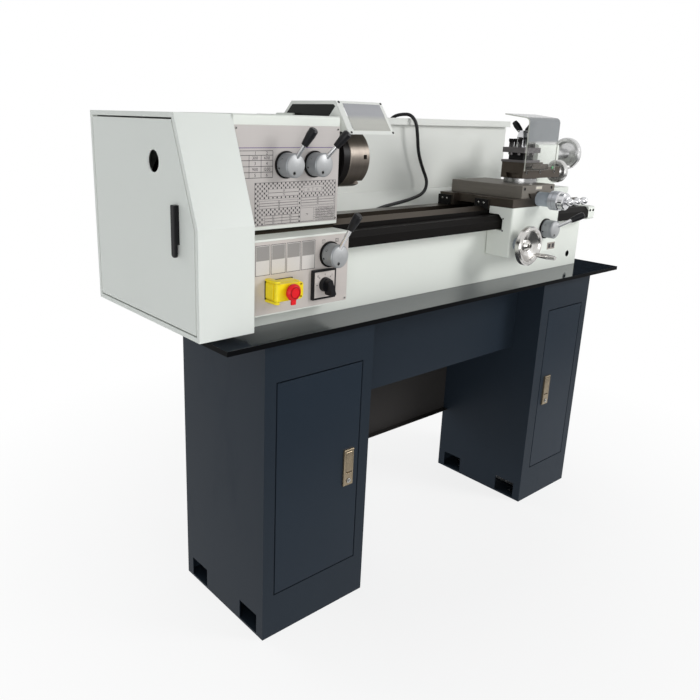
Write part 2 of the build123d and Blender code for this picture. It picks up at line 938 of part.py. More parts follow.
def leadscrew_gear():
    """Its teeth fall between the idler's, counted round the idler from the spindle mesh."""
    center = idler_center()
    idler_turn = bearing_of(center, spindle_center) + 180 / idler_teeth
    out = bearing_of(center, screw_center)
    lead = (out - idler_turn) % (360 / idler_teeth)
    turn = bearing_of(screw_center, center) + lead * idler_teeth / screw_teeth + 180 / screw_teeth
    return gear(screw_teeth, leadscrew_r + fixed_gap, gear_x, screw_center, turn)


def motor():
    left = bed_left + motor_stand_off
    right = left + motor_length
    body = turned((left, motor_y, motor_z), (1, 0, 0), [
        (motor_shaft_r + running_gap, 0),
        (motor_r - 14, 0),
        (motor_r - 4, 8),
        (motor_r - 4, 20),
        (motor_r, 24),
        (motor_r, motor_length - 40),
        (motor_r - 6, motor_length - 36),
        (motor_r - 6, motor_length - 8),
        (motor_r - 16, motor_length),
        (0, motor_length),
        (0, motor_bore),
        (motor_shaft_r + running_gap, motor_bore),
    ])
    middle = (left + right) / 2
    foot_x = (middle - motor_foot_length / 2, middle + motor_foot_length / 2)
    foot_z = (motor_z - motor_foot_height / 2, motor_z + motor_foot_height / 2)
    foot = span(foot_x, (bed_back, bed_back + 10), widened(foot_z, 12))
    foot += span(foot_x, (bed_back, motor_y - motor_r / 2), foot_z)
    inside = rod_x((left, right), motor_y, motor_z, motor_r - 2)
    box_x = (middle - terminal_box / 2, middle + terminal_box / 2)
    box_sides = (motor_y - terminal_box / 2, motor_y + terminal_box / 2)
    box = span(box_x, box_sides, (motor_z + motor_r / 2, motor_z + motor_r + 26))
    return body + ((foot + box) - inside)


def motor_pulley():
    shaft_x = (pulley_left - 4, bed_left + motor_stand_off + motor_shaft_reach)
    wheel = pulley(motor_center, motor_pulley_r, motor_shaft_r / 2)
    return wheel + rod_x(shaft_x, motor_y, motor_z, motor_shaft_r)


def drive_belt():
    middle = pulley_left + pulley_width / 2
    x = (middle - belt_width / 2 + 1.5, middle + belt_width / 2 - 1.5)
    loops = []
    for grow in (belt_thickness, 0):
        circles = []
        for center, radius in ((spindle_center, spindle_pulley_r), (motor_center, motor_pulley_r)):
            seat = Pos(center[0], center[1]) * Circle(radius - groove_depth + free_gap + grow)
            circles += list(seat.edges())
        loops.append(make_hull(circles))
    face = Plane.YZ.offset(x[0]) * (loops[0] - loops[1])
    return extrude(face, amount=x[1] - x[0], dir=(1, 0, 0))


# Chuck
jaw_angles = (90 + chuck_turn, 210 + chuck_turn, 330 + chuck_turn)


def around_spindle(piece, angle):
    """Turn a piece made for a jaw that points up to another angle about the spindle."""
    axis = Axis((0, spindle_y, spindle_z), (1, 0, 0))
    return piece.rotate(axis, angle - 90)


def chuck():
    x = (plate_right, chuck_right)
    body = rod_x(x, spindle_y, spindle_z, chuck_r)
    rims = body.edges().filter_by(GeomType.CIRCLE)
    body = chamfer(rims, 2)
    body -= rod_x(x, spindle_y, spindle_z, chuck_bore_r)
    for angle in jaw_angles:
        half = jaw_width / 2 + slide_gap
        slot = span(
            (chuck_right - jaw_seat - slide_gap, chuck_right),
            (spindle_y - half, spindle_y + half),
            (spindle_z, spindle_z + chuck_r),
        )
        body -= around_spindle(slot, angle)
        key_x = chuck_right - chuck_key_depth
        half_key = chuck_key_hole / 2
        key = span(
            (key_x - half_key, key_x + half_key),
            (spindle_y - half_key, spindle_y + half_key),
            (spindle_z + chuck_r - 2 * chuck_key_hole, spindle_z + chuck_r),
        )
        body -= around_spindle(key, angle + 60)
    plate = rod_x((flange_right, plate_right), spindle_y, spindle_z, chuck_r)
    plate -= rod_x((flange_right, plate_right), spindle_y, spindle_z, chuck_bore_r)
    return group(body, plate)


def chuck_jaw(angle):
    """A stepped jaw with a blunt vee point towards the work."""
    low = spindle_z + jaw_inner_r
    top = low + jaw_length
    seat = chuck_right - jaw_seat
    outline = [
        (seat, low),
        (chuck_right + jaw_nose, low),
        (chuck_right + jaw_nose, low + jaw_step),
        (chuck_right + jaw_nose * 0.6, low + jaw_step),
        (chuck_right + jaw_nose * 0.6, low + 2 * jaw_step),
        (chuck_right + jaw_nose * 0.2, low + 2 * jaw_step),
        (chuck_right + jaw_nose * 0.2, top),
        (seat, top),
    ]
    jaw = along_y(outline, (spindle_y - jaw_width / 2, spindle_y + jaw_width / 2))
    half = jaw_width / 2
    rise = half * math.tan(math.radians(30))
    for side in (-1, 1):
        cut = [(spindle_y, low), (spindle_y + side * half, low), (spindle_y + side * half, low + rise)]
        jaw -= along_x(cut, (seat, chuck_right + jaw_nose))
    return around_spindle(jaw, angle)


# Chuck guard
hood_right = hood_left + hood_length
hood_path = [
    (hood_front_y, hood_front_z),
    (hood_top_front_y, hood_top_z),
    (hood_top_back_y, hood_top_z),
    (hood_back_y, hood_back_z),
]


def window_plane():
    """The hood's sloping front, with the plane's own axes along X and up the slope."""
    up = Vector(0, hood_top_front_y - hood_front_y, hood_top_z - hood_front_z)
    middle = Vector((hood_left + hood_right) / 2, hood_front_y, hood_front_z) + up * 0.5
    return Plane(middle, x_dir=(1, 0, 0), z_dir=Vector(1, 0, 0).cross(up)), up.length


def window_size():
    plane, slope = window_plane()
    return hood_length - 2 * hood_border, slope - 2 * hood_border


def chuck_guard():
    x = (hood_left, hood_right)
    closed = hood_path[::-1]
    shell = along_x(closed, x)
    core = inset(closed, hood_sheet)
    low = hood_sheet + 20
    shell -= along_x(core, (hood_left + hood_sheet, hood_right))
    floor = [
        (hood_front_y + hood_sheet * 1.6, hood_front_z - low),
        (hood_back_y - hood_sheet * 1.6, hood_front_z - low),
        (hood_back_y - hood_sheet * 1.6, hood_back_z + 1),
        (hood_front_y + hood_sheet * 1.6, hood_front_z + 1.5),
    ]
    shell -= along_x(floor, (hood_left + hood_sheet, hood_right))
    opening = inset(closed, hood_border)
    shell -= along_x(opening, (hood_left, hood_left + hood_sheet))
    ear_x = (hood_left, hood_left + hood_sheet)
    shell += rod_x(ear_x, hood_pin_y, hood_pin_z, hood_ear_r)
    shell -= rod_x(ear_x, hood_pin_y, hood_pin_z, hood_pin_r + running_gap)
    plane, slope = window_plane()
    width, height = window_size()
    shell -= plane * Box(width, height, 6 * hood_sheet)
    return shell


def chuck_guard_window():
    """A clear pane screwed to the inside of the hood's front."""
    plane, slope = window_plane()
    width, height = window_size()
    lap = hood_border / 2
    seat = (Align.CENTER, Align.CENTER, Align.MAX)
    return plane.offset(-hood_sheet) * Box(width + lap, height + lap, hood_sheet, align=seat)


def guard_bracket():
    """A plate on the headstock's end that carries the hood's hinge pin."""
    y = (headstock_back - 40, hood_pin_y + hood_ear_r)
    z = (hood_pin_z - 30, hood_pin_z + hood_ear_r)
    x = (headstock_right, headstock_right + bracket_sheet)
    plate = span(x, y, z)
    plate = fillet(plate.edges().filter_by(Axis.X).group_by(Axis.Y)[-1], hood_ear_r * 0.6)
    pin_x = (x[0], hood_left + hood_sheet + 8)
    return plate + rod_x(pin_x, hood_pin_y, hood_pin_z, hood_pin_r)


# Levers and switches
def lever(x, face_y, z, angle, reach, hub):
    """A hub on a face, with a leaning rod and a round-ended grip; angle is from upright to +X."""
    ring_piece = rod_y(x, (face_y - hub_ring, face_y), z, hub_ring_r)
    body = rod_y(x, (face_y - hub_ring - hub, face_y - hub_ring), z, hub_r)
    body = chamfer(body.faces().sort_by(Axis.Y)[0].edges(), 1.5)
    lean = math.radians(lever_lean)
    up = math.radians(angle)
    way = Vector(math.sin(up) * math.cos(lean), -math.sin(lean), math.cos(up) * math.cos(lean))
    root = Vector(x, face_y - hub_ring - hub * 0.55, z)
    body += rod(tuple(root), tuple(way), lever_rod_r, reach)
    grip = turned(tuple(root + way * reach), tuple(way), [
        (0, 0),
        (grip_r * 0.75, 0),
        (grip_r, grip_length * 0.6),
        (grip_r, grip_length - 3),
        (grip_r - 3, grip_length),
        (0, grip_length),
    ])
    return group(ring_piece, body, grip)


plate_front = headstock_front - plate_sheet
lower_front = gearbox_front - plate_sheet
estop_front = lower_front - estop_base
estop_hinge_x = estop_left + estop_lid / 2
estop_hinge_y = estop_front - slide_gap - estop_lid / 2
estop_cap_x = estop_left + estop_width / 2 + 2
estop_cap_z = estop_bottom + estop_height / 2
estop_z = (estop_bottom, estop_bottom + estop_height)


def estop_base_piece():
    x = (estop_left, estop_left + estop_width)
    base = span(x, (estop_front, lower_front), estop_z)
    base = fillet(base.edges().filter_by(Axis.Y), 5)
    ear_r = estop_lid / 2
    for z in ((estop_z[0] - estop_ear, estop_z[0]), (estop_z[1], estop_z[1] + estop_ear)):
        ear = rod_z(estop_hinge_x, estop_hinge_y, z, ear_r)
        ear += span((estop_left, estop_left + estop_lid), (estop_hinge_y, lower_front), z)
        base += ear - rod_z(estop_hinge_x, estop_hinge_y, z, estop_pin_r + running_gap)
    return base


def estop_lid_piece():
    y = (estop_hinge_y - estop_lid / 2, estop_hinge_y + estop_lid / 2)
    gap_z = widened(estop_z, -free_gap)
    lid = span((estop_hinge_x, estop_left + estop_width), y, gap_z)
    lid += rod_z(estop_hinge_x, estop_hinge_y, gap_z, estop_lid / 2)
    lid = fillet(lid.faces().sort_by(Axis.X)[-1].edges().filter_by(Axis.Y), 8)
    lid += rod_z(estop_hinge_x, estop_hinge_y, widened(estop_z, estop_ear), estop_pin_r)
    return lid - rod_y(estop_cap_x, y, estop_cap_z, estop_stem_r + 2 * running_gap)


def estop_button_piece():
    lid_front = estop_hinge_y - estop_lid / 2
    cap_back = lid_front - estop_stroke - 2
    cap = turned((estop_cap_x, cap_back, estop_cap_z), (0, -1, 0), [
        (0, 0),
        (estop_cap_r, 0),
        (estop_cap_r, estop_cap * 0.5),
        (estop_cap_r - 4, estop_cap),
        (0, estop_cap),
    ])
    tab_x = (estop_cap_x - 5, estop_cap_x + 5)
    tab_y = (cap_back - estop_cap * 0.5, cap_back)
    cap += span(tab_x, tab_y, (estop_cap_z - estop_cap_r - 8, estop_cap_z))
    return cap + rod_y(estop_cap_x, (cap_back, lid_front + estop_lid * 0.45), estop_cap_z, estop_stem_r)


def switch_plate():
    half = switch_size / 2
    x = (switch_x - half, switch_x + half)
    y = (lower_front - switch_base, lower_front)
    base = span(x, y, (switch_z - half, switch_z + half))
    return base - rod_y(switch_x, y, switch_z, switch_knob_r / 3 + running_gap)


def switch_knob_piece():
    face = lower_front - switch_base - free_gap
    knob = turned((switch_x, face, switch_z), (0, -1, 0), [
        (0, 0),
        (switch_knob_r, 0),
        (switch_knob_r - 1.5, switch_knob * 0.4),
        (0, switch_knob * 0.4),
    ])
    blade = span(
        (switch_x - switch_blade / 2, switch_x + switch_blade / 2),
        (face - switch_knob, face),
        (switch_z - switch_knob_r * 1.5, switch_z + switch_knob_r * 0.8),
    )
    blade = fillet(blade.edges().filter_by(Axis.Y), 3)
    turn = Axis((switch_x, face, switch_z), (0, -1, 0))
    knob += blade.rotate(turn, 20)
    return knob + rod_y(switch_x, (face, lower_front - 1), switch_z, switch_knob_r / 3)


# Carriage
carriage_right = carriage_left + carriage_length


def dovetail(middle, width, low, high, undercut, by):
    """A dovetail's end outline, wider at its top, grown by a clearance."""
    half = width / 2 + by
    return [
        (middle - half, low),
        (middle + half, low),
        (middle + half + undercut, high + by),
        (middle - half - undercut, high + by),
    ]


def saddle():
    x = (carriage_left, carriage_right)
    low = way_z + slide_gap
    web = span(widened(x, -saddle_web_inset), (saddle_front, saddle_back), (way_z + saddle_lower, saddle_top))
    front = span(x, (saddle_front, saddle_front + saddle_front_wing), (way_z + saddle_lower, saddle_top))
    front += span(x, (bed_front, saddle_front + saddle_front_wing), (low, saddle_top))
    rear = span(x, (saddle_back - saddle_rear_wing, saddle_back), (low, saddle_top))
    body = web + front + rear
    body -= along_x(vee_outline(slide_gap), x)
    tail = dovetail(cross_x, dovetail_width, saddle_top, saddle_top + dovetail_height, dovetail_undercut, 0)
    body += along_y(tail, (saddle_front, saddle_back))
    bearing_y = (saddle_front - cross_screw_bearing, saddle_front)
    bearing_z = saddle_top - slide_gap - 2
    bore_y = (bearing_y[0], saddle_front + cross_bore)
    bore = rod_y(cross_x, bore_y, bearing_z, cross_shaft_r + running_gap)
    bearing = rod_y(cross_x, bearing_y, bearing_z, cross_screw_bearing_r) - bore
    wipers = []
    for side in ((carriage_left - wiper, carriage_left), (carriage_right, carriage_right + wiper)):
        pad_y = (bed_front + 2, bed_front + 2 + wiper_width)
        pad = span(side, pad_y, (way_z + 1, saddle_top - wiper_below_top))
        wipers.append(pad - along_x(vee_outline(2 * slide_gap), side))
        rear_y = (saddle_back - wiper_width, saddle_back)
        wipers.append(span(side, rear_y, (way_z + 2 * slide_gap, saddle_top - wiper_below_top)))
    return group(body - bore, bearing, *wipers)


def apron():
    x = (carriage_left, carriage_right)
    z = (apron_bottom, way_z + saddle_lower)
    body = span(x, (apron_front, apron_back), z)
    body = fillet(body.faces().sort_by(Axis.Y)[0].edges().filter_by(Axis.Z), 5)
    passage = guard_outline(apron_notch_gap)
    passage = [(apron_back, passage[0][1])] + passage[1:] + [(apron_back, passage[-1][1])]
    body -= along_x(passage, x)
    back = (apron_front, apron_front + shaft_seat + 2)
    body -= rod_y(handwheel_x, back, handwheel_z, cross_shaft_r + running_gap)
    return body - rod_y(half_nut_x, back, half_nut_z, cross_shaft_r + running_gap)


def handwheel(origin, direction, radius, shaft_r, shaft_back, hub_back, handle_angle, handle_length):
    """A dished wheel with a turned rim and a revolving handle, facing along its direction."""
    body = turned(origin, direction, [
        (0, -hub_back),
        (shaft_r * 2.2, -hub_back),
        (shaft_r * 1.8, -8),
        (radius - 12, -2),
        (radius - 11, -9),
        (radius - 3, -9),
        (radius, -6),
        (radius, 5),
        (radius - 3, 8),
        (radius - 9, 8),
        (radius - 12, 4),
        (shaft_r * 2, -4),
        (shaft_r * 1.2, 2),
        (0, 2),
    ])
    axis = Vector(*direction).normalized()
    side = Vector(0, 0, 1)
    swing = Axis(origin, direction)
    body += rod(tuple(Vector(*origin) - axis * shaft_back), direction, shaft_r, shaft_back)
    root = Vector(*origin) + side * (radius - 8) + axis * 2
    handle = turned(tuple(root), direction, [
        (0, 0),
        (5, 0),
        (6.5, handle_length * 0.55),
        (5, handle_length),
        (0, handle_length),
    ])
    return body + handle.rotate(swing, handle_angle)


def carriage_handwheel():
    origin = (handwheel_x, apron_front - handwheel_stand_off, handwheel_z)
    hub_back = handwheel_stand_off - slide_gap
    shaft_back = hub_back + shaft_seat
    handle = (carriage_handle_angle, carriage_handle)
    return handwheel(origin, (0, -1, 0), handwheel_r, cross_shaft_r, shaft_back, hub_back, *handle)


def half_nut_lever():
    swing = (half_nut_angle, half_nut_reach, half_nut_hub)
    piece = lever(half_nut_x, apron_front - slide_gap, half_nut_z, *swing)
    shaft = rod_y(half_nut_x, (apron_front - 2, apron_front + shaft_seat), half_nut_z, cross_shaft_r)
    solids = piece.solids()
    washer = min(solids, key=lambda solid: abs(solid.center().Y - apron_front))
    return group(washer + shaft, *[solid for solid in solids if solid is not washer])


def cross_slide():
    y = (cross_front, cross_front + cross_depth)
    body = span((cross_left, cross_left + cross_width), y, (cross_bottom, cross_top))
    body = chamfer(body.faces().sort_by(Axis.Z)[-1].edges(), 1)
    low = cross_bottom - slide_gap
    groove = dovetail(cross_x, dovetail_width, low, low + dovetail_height, dovetail_undercut, slide_gap)
    body -= along_y(groove, y)
    arch_y = (cross_front, cross_front + cross_screw_bearing + 6)
    body -= rod_y(cross_x, arch_y, saddle_top - slide_gap - 2, cross_screw_bearing_r + free_gap)
    pivot_z = (cross_top - pivot_boss - free_gap, cross_top)
    return body - rod_z(pivot_x, compound_y, pivot_z, pivot_boss_r + running_gap)


def cross_feed_crank():
    z = saddle_top - slide_gap - 2
    face = saddle_front - cross_screw_bearing - slide_gap
    body = turned((cross_x, face, z), (0, -1, 0), [
        (0, 0),
        (cross_dial_r, 0),
        (cross_dial_r, cross_dial * 0.62),
        (cross_dial_r - 3, cross_dial * 0.68),
        (cross_dial_r - 3, cross_dial),
        (cross_dial_r - 6, cross_dial + 2),
        (0, cross_dial + 2),
    ])
    arm_y = face - cross_dial - ball_r
    body += rod_x((cross_x, cross_x + 2 * ball_pitch), arm_y, z, ball_r * 0.5)
    for index in range(3):
        body += Pos(cross_x + index * ball_pitch, arm_y, z) * Sphere(ball_r)
    return body + rod_y(cross_x, (face, saddle_front + cross_bore - 2), z, cross_shaft_r)


# Compound slide and tool post
compound_front = compound_y - compound_width / 2
compound_back = compound_y + compound_width / 2
compound_right = compound_left + compound_length
dove_low = compound_bottom - slide_gap


def compound_dovetail(by):
    return dovetail(compound_y, top_dovetail_width, dove_low, dove_low + top_dovetail_height, 5, by)


def compound_base_piece():
    disc = rod_z(pivot_x, compound_y, (swivel_bottom, dove_low), swivel_r)
    disc += rod_z(pivot_x, compound_y, (swivel_bottom - pivot_boss, swivel_bottom), pivot_boss_r)
    tail_x = (pivot_x - swivel_r + 14, compound_right - compound_end_wall - compound_travel - 2)
    return disc + along_x(compound_dovetail(0), tail_x)


def compound_slide_piece():
    x = (compound_left, compound_right)
    y = (compound_front, compound_back)
    body = span(x, y, (compound_bottom, compound_top))
    step_x = (compound_left + compound_step_x, compound_right)
    body -= span(step_x, y, (compound_top - compound_step, compound_top))
    body -= along_x(compound_dovetail(slide_gap), (compound_left, compound_right - compound_end_wall))
    shaft_z = compound_top - compound_wheel_below_top
    bearing_x = (compound_right, compound_right + compound_bearing)
    body += span(bearing_x, (compound_y - 20, compound_y + 20), (shaft_z - 11, compound_top - compound_step))
    bore_x = (compound_right - compound_end_wall, bearing_x[1])
    body -= rod_x(bore_x, compound_y, shaft_z, compound_shaft_r + running_gap)
    stud = rod_z(tool_post_x, compound_y, (compound_top, post_top + tool_stud_rise), tool_stud_r)
    return group(body, stud)


def compound_handwheel():
    shaft_z = compound_top - compound_wheel_below_top
    back = compound_wheel_reach - compound_bearing - slide_gap
    origin = (compound_wheel_x, compound_y, shaft_z)
    shaft_back = back + compound_bearing + compound_end_wall - 3
    handle = (compound_handle_angle, compound_handle)
    return handwheel(origin, (1, 0, 0), compound_wheel_r, compound_shaft_r, shaft_back, back, *handle)


def tool_post():
    half = tool_post_size / 2
    core = tool_post_core / 2
    x = (tool_post_x - half, tool_post_x + half)
    y = (compound_y - half, compound_y + half)
    slot_low = post_bottom + tool_post_base
    slot_high = slot_low + tool_post_slot
    body = span(x, y, (post_bottom, slot_low))
    core_x = (tool_post_x - core, tool_post_x + core)
    core_y = (compound_y - core, compound_y + core)
    body += span(core_x, core_y, (slot_low, slot_high))
    top = span(x, y, (slot_high, post_top))
    body += chamfer(top.edges().filter_by(Axis.Z), 2)
    body -= rod_z(tool_post_x, compound_y, (post_bottom, post_top), tool_stud_r + 2 * running_gap)
    bolts = []
    reach = half - tool_bolt_inset
    for across, along in bolt_places(reach):
        at = (tool_post_x + across, compound_y + along)
        body -= rod_z(*at, (slot_high, post_top), tool_bolt / 2)
        head_low = post_top + tool_bolt_rise - tool_bolt
        shank = rod_z(*at, (slot_high - tool_post_slot / 3, head_low), tool_bolt / 2 - fixed_gap)
        head_sides = [(middle - tool_bolt / 2, middle + tool_bolt / 2) for middle in at]
        bolts.append(shank + span(*head_sides, (head_low, head_low + tool_bolt)))
    return group(body, *bolts)


def bolt_places(reach):
    """Two clamp bolts along each side of the post, as offsets from its centre."""
    near = reach * 0.42
    sides = [(-near, -reach), (near, -reach), (-near, reach), (near, reach)]
    return sides + [(along, across) for across, along in sides]


def tool_clamp():
    """The clamping nut with two rising arms and their grips."""
    nut = turned((tool_post_x, compound_y, post_top + slide_gap), (0, 0, 1), [
        (tool_stud_r + 2 * running_gap, 0),
        (clamp_r, 0),
        (clamp_r - 2, clamp_height * 0.45),
        (clamp_r, clamp_height * 0.6),
        (clamp_r - 5, clamp_height),
        (0, clamp_height),
        (0, tool_stud_rise + 1),
        (tool_stud_r + 2 * running_gap, tool_stud_rise + 1),
    ])
    grips = []
    for turn in (clamp_turn, clamp_turn + 180):
        rise = math.radians(clamp_rise)
        heading = math.radians(turn)
        way = Vector(math.cos(heading) * math.cos(rise), math.sin(heading) * math.cos(rise), math.sin(rise))
        root = Vector(tool_post_x, compound_y, post_top + clamp_height * 0.75)
        nut += rod(tuple(root + way * 6), tuple(way), lever_rod_r, clamp_arm_reach - 6)
        grips.append(turned(tuple(root + way * clamp_arm_reach), tuple(way), [
            (0, 0),
            (grip_r * 0.75, 0),
            (grip_r * 0.9, grip_length * 0.5),
            (grip_r * 0.7, grip_length * 0.8),
            (0, grip_length * 0.8),
        ]))
    return group(nut, *grips)


def tool_shield():
    """A clear pane in front of the tool post, bent back over it, on a strip from the compound's side."""
    low = shield_bottom
    high = shield_bottom + shield_height
    front = shield_front - shield_sheet
    slope = shield_roof_rise / shield_roof
    under = high - shield_sheet + shield_sheet * slope
    end_z = high + shield_roof_rise
    outline = [
        (shield_front, low),
        (front, low),
        (front, high),
        (front + shield_roof, end_z),
        (front + shield_roof, end_z - shield_sheet),
        (shield_front, under),
    ]
    pane = along_x(outline, (shield_left, shield_left + shield_length))
    middle = shield_left + shield_length / 2
    inner = pane.edges().filter_by(Axis.X).sort_by_distance((middle, shield_front, under))[0]
    pane = fillet(inner, shield_bend_r - shield_sheet)
    outer = pane.edges().filter_by(Axis.X).sort_by_distance((middle, front, high))[0]
    pane = fillet(outer, shield_bend_r)
    strip_x = (compound_left + 8, compound_left + 8 + shield_tab)
    strip_z = (shield_bottom + 2, shield_bottom + 16)
    strip = span(strip_x, (shield_front, shield_front + cabinet_sheet), strip_z)
    strip += span(strip_x, (shield_front, compound_front), (strip_z[0], strip_z[0] + cabinet_sheet))
    strip += span(strip_x, (compound_front - cabinet_sheet, compound_front), (strip_z[0], strip_z[0] + 10))
    return group(pane, strip)


# Tailstock
tailstock_right = tailstock_left + tailstock_length


def tailstock():
    x = (tailstock_left, tailstock_right)
    y = (tailstock_front, tailstock_front + 2 * tailstock_half)
    base_x = (tailstock_base_left, tailstock_base_left + tailstock_base_length)
    base_y = (tailstock_base_front, tailstock_base_back)
    base_z = (way_z + slide_gap, way_z + slide_gap + tailstock_base_height)
    base = span(base_x, base_y, base_z)
    base -= along_x(vee_outline(slide_gap), base_x)
    barrel = span(x, y, (spindle_z - tailstock_half, spindle_z + tailstock_top_above_spindle))
    barrel = fillet(barrel.edges().filter_by(Axis.X).group_by(Axis.Z)[-1], 8)
    low = [(base_x[0] + 4, base_z[1]), (base_x[1] - 4, base_z[1])]
    neck = along_y([
        low[0],
        low[1],
        (x[1] - 12, spindle_z - tailstock_half),
        (x[0] + 12, spindle_z - tailstock_half),
    ], widened(y, -12))
    body = base + barrel + neck
    body -= rod_x(x, spindle_y, spindle_z, quill_r + running_gap)
    shoe_x = widened(base_x, -30)
    shoe_top = way_z - rail_depth - slide_gap
    shoe_y = (bed_front + front_rail, bed_back - rear_rail)
    drop = (front_rail - bed_wall) / 2
    front_fall = clamp_reach * drop / (front_rail - bed_wall)
    rear_fall = clamp_reach * drop / (rear_rail - bed_wall)
    shoe = along_x([
        (shoe_y[0] - clamp_reach, shoe_top - clamp_plate),
        (shoe_y[1] + clamp_reach, shoe_top - clamp_plate),
        (shoe_y[1] + clamp_reach, shoe_top - rear_fall - slide_gap),
        (shoe_y[1], shoe_top - slide_gap),
        (shoe_y[0], shoe_top - slide_gap),
        (shoe_y[0] - clamp_reach, shoe_top - front_fall - slide_gap),
    ], shoe_x)
    post_x = (base_x[0] + base_x[1]) / 2
    post_z = (shoe_top - clamp_plate, way_z + slide_gap + 8)
    shoe += rod_z(post_x, (shoe_y[0] + shoe_y[1]) / 2, post_z, 8)
    collar = ring_x((x[1], x[1] + tail_collar), spindle_y, spindle_z, quill_r + 8, tail_shaft_r + running_gap)
    return body + collar + shoe


def quill():
    x = (tailstock_left - quill_reach, tailstock_left - quill_reach + quill_length)
    body = rod_x(x, spindle_y, spindle_z, quill_r)
    body = chamfer(body.edges().filter_by(GeomType.CIRCLE).group_by(Axis.X)[0], 2)
    taper = turned((x[0], spindle_y, spindle_z), (1, 0, 0), [
        (0, 0),
        (quill_bore_r, 0),
        (quill_bore_r * 0.75, quill_length * 0.5),
        (0, quill_length * 0.5),
    ])
    screw_x = (x[0] + quill_length * 0.55, x[1])
    return body - taper - rod_x(screw_x, spindle_y, spindle_z, tail_shaft_r + free_gap)


def tailstock_handwheel():
    hub_back = tail_wheel_x - tailstock_right - tail_collar - slide_gap
    origin = (tail_wheel_x, spindle_y, spindle_z)
    handle = (tail_handle_angle, tail_handle)
    shaft_back = hub_back + tail_screw_reach
    return handwheel(origin, (1, 0, 0), tail_wheel_r, tail_shaft_r, shaft_back, hub_back, *handle)


def tailstock_lever():
    """The clamp lever on the rear of the tailstock."""
    back = tailstock_front + 2 * tailstock_half
    z = spindle_z - tailstock_half * 0.4
    hub = rod_y(clamp_lever_x, (back + slide_gap, back + 18), z, 12)
    hub += rod((clamp_lever_x, back + 11, z), (0.4, 0, 1), lever_rod_r, clamp_lever_length * 0.55)
    tip = Vector(clamp_lever_x, back + 11, z) + Vector(0.4, 0, 1).normalized() * clamp_lever_length * 0.55
    grip = turned(tuple(tip), (0.4, 0, 1), [
        (0, 0),
        (grip_r * 0.75, 0),
        (grip_r, grip_length * 0.6),
        (grip_r * 0.6, grip_length),
        (0, grip_length),
    ])
    return group(hub, grip)


# Splash guard, electrics box and cable
splash_right = splash_left + splash_length


def splash_guard():
    front = [
        (splash_wall_y - splash_hem_depth, splash_top_z - splash_hem),
        (splash_wall_y - splash_hem_depth, splash_top_z),
        (splash_wall_y, splash_top_z),
        (splash_wall_y, splash_bend_z),
        (splash_foot_y, splash_foot_z),
        (splash_foot_y, tray_z),
    ]
    s = splash_sheet
    bend = s * math.tan(math.atan2(splash_wall_y - splash_foot_y, splash_bend_z - splash_foot_z) / 2)
    back = [
        (splash_foot_y + s, tray_z),
        (splash_foot_y + s, splash_foot_z - bend),
        (splash_wall_y + s, splash_bend_z - bend),
        (splash_wall_y + s, splash_top_z + s),
        (splash_wall_y - splash_hem_depth - s, splash_top_z + s),
        (splash_wall_y - splash_hem_depth - s, splash_top_z - splash_hem),
    ]
    x = (splash_left, splash_right)
    foot_y = (splash_foot_y, splash_foot_y + splash_flange)
    return along_x(front + back, x) + span(x, foot_y, (tray_z, tray_z + s))


wall_back = splash_wall_y + splash_sheet
box_y = (wall_back, wall_back + box_depth)
box_top = box_bottom + box_height


def electrics_box():
    x = (box_left, box_left + box_length)
    box = span(x, box_y, (box_bottom, box_top))
    box = fillet(box.faces().sort_by(Axis.Y)[-1].edges(), 4)
    return box


def cable_at(x, y, z):
    """A cable point, from the splash guard's end, its wall and the tray."""
    return splash_left + x, splash_wall_y + y, tray_z + z


cable_points = [
    (box_left + 94, splash_wall_y + 34, box_top + gland_length),
    (box_left + 94, splash_wall_y + 34, box_top + gland_length + 20),
    cable_at(470, 24, 423),
    cable_at(480, 6, 430),
    cable_at(493, -23, 428),
    cable_at(504, -32.5, 399),
    cable_at(513, -31, 359),
    cable_at(526, -26, 307),
    cable_at(548, -26, 268),
    cable_at(558, -30, 234),
    cable_at(532, -43, 208),
    cable_at(475, -57, 197.5),
    cable_at(405, -67, 192.5),
    cable_at(334, -74, 185),
    cable_at(270, -78, 163),
    cable_at(225, -78, 118),
    cable_at(207, -78, 68),
    cable_at(207, -78, gland_length),
]
cable_start = Vector(*cable_points[0])
cable_end = Vector(*cable_points[-1])


def cable_radii():
    """The largest tangent arcs that the runs leave room for."""
    radii = []
    for before, at, after in zip(cable_points, cable_points[1:], cable_points[2:]):
        run_in = Vector(*at) - Vector(*before)
        run_out = Vector(*after) - Vector(*at)
        turn = math.radians(run_in.get_angle(run_out))
        radii.append(0.45 * min(run_in.length, run_out.length) / math.tan(turn / 2))
    return radii


def guard_cable():
    radii = cable_radii()
    print("cable radii", [round(radius, 1) for radius in radii])
    path = FilletPolyline(*cable_points, radius=radii)
    start = Vector(*cable_points[1]) - cable_start
    section = Plane(cable_start, z_dir=start) * Circle(cable_r)
    tube = sweep(section, path=path)
    straight = math.pi * cable_r ** 2 * path.length
    print("cable length", round(path.length, 1), "volume ratio", tube.volume / straight)
    return tube


def gland(tip, direction, length):
    """A gland that ends face to face with the cable and stands on what carries it."""
    way = Vector(*direction).normalized()
    root = tip - way * length
    return turned(tuple(root), tuple(way), [
        (0, 0),
        (gland_r, 0),
        (gland_r, length * 0.5),
        (gland_r * 0.8, length * 0.6),
        (cable_r + 1, length),
        (0, length),
    ])


def cable_glands():
    rise = Vector(*cable_points[1]) - cable_start
    first = gland(cable_start, tuple(rise), gland_length)
    into_bed = Vector(*cable_points[-2]) - cable_end
    second = gland(cable_end, tuple(into_bed), gland_length)
    return group(first, second)


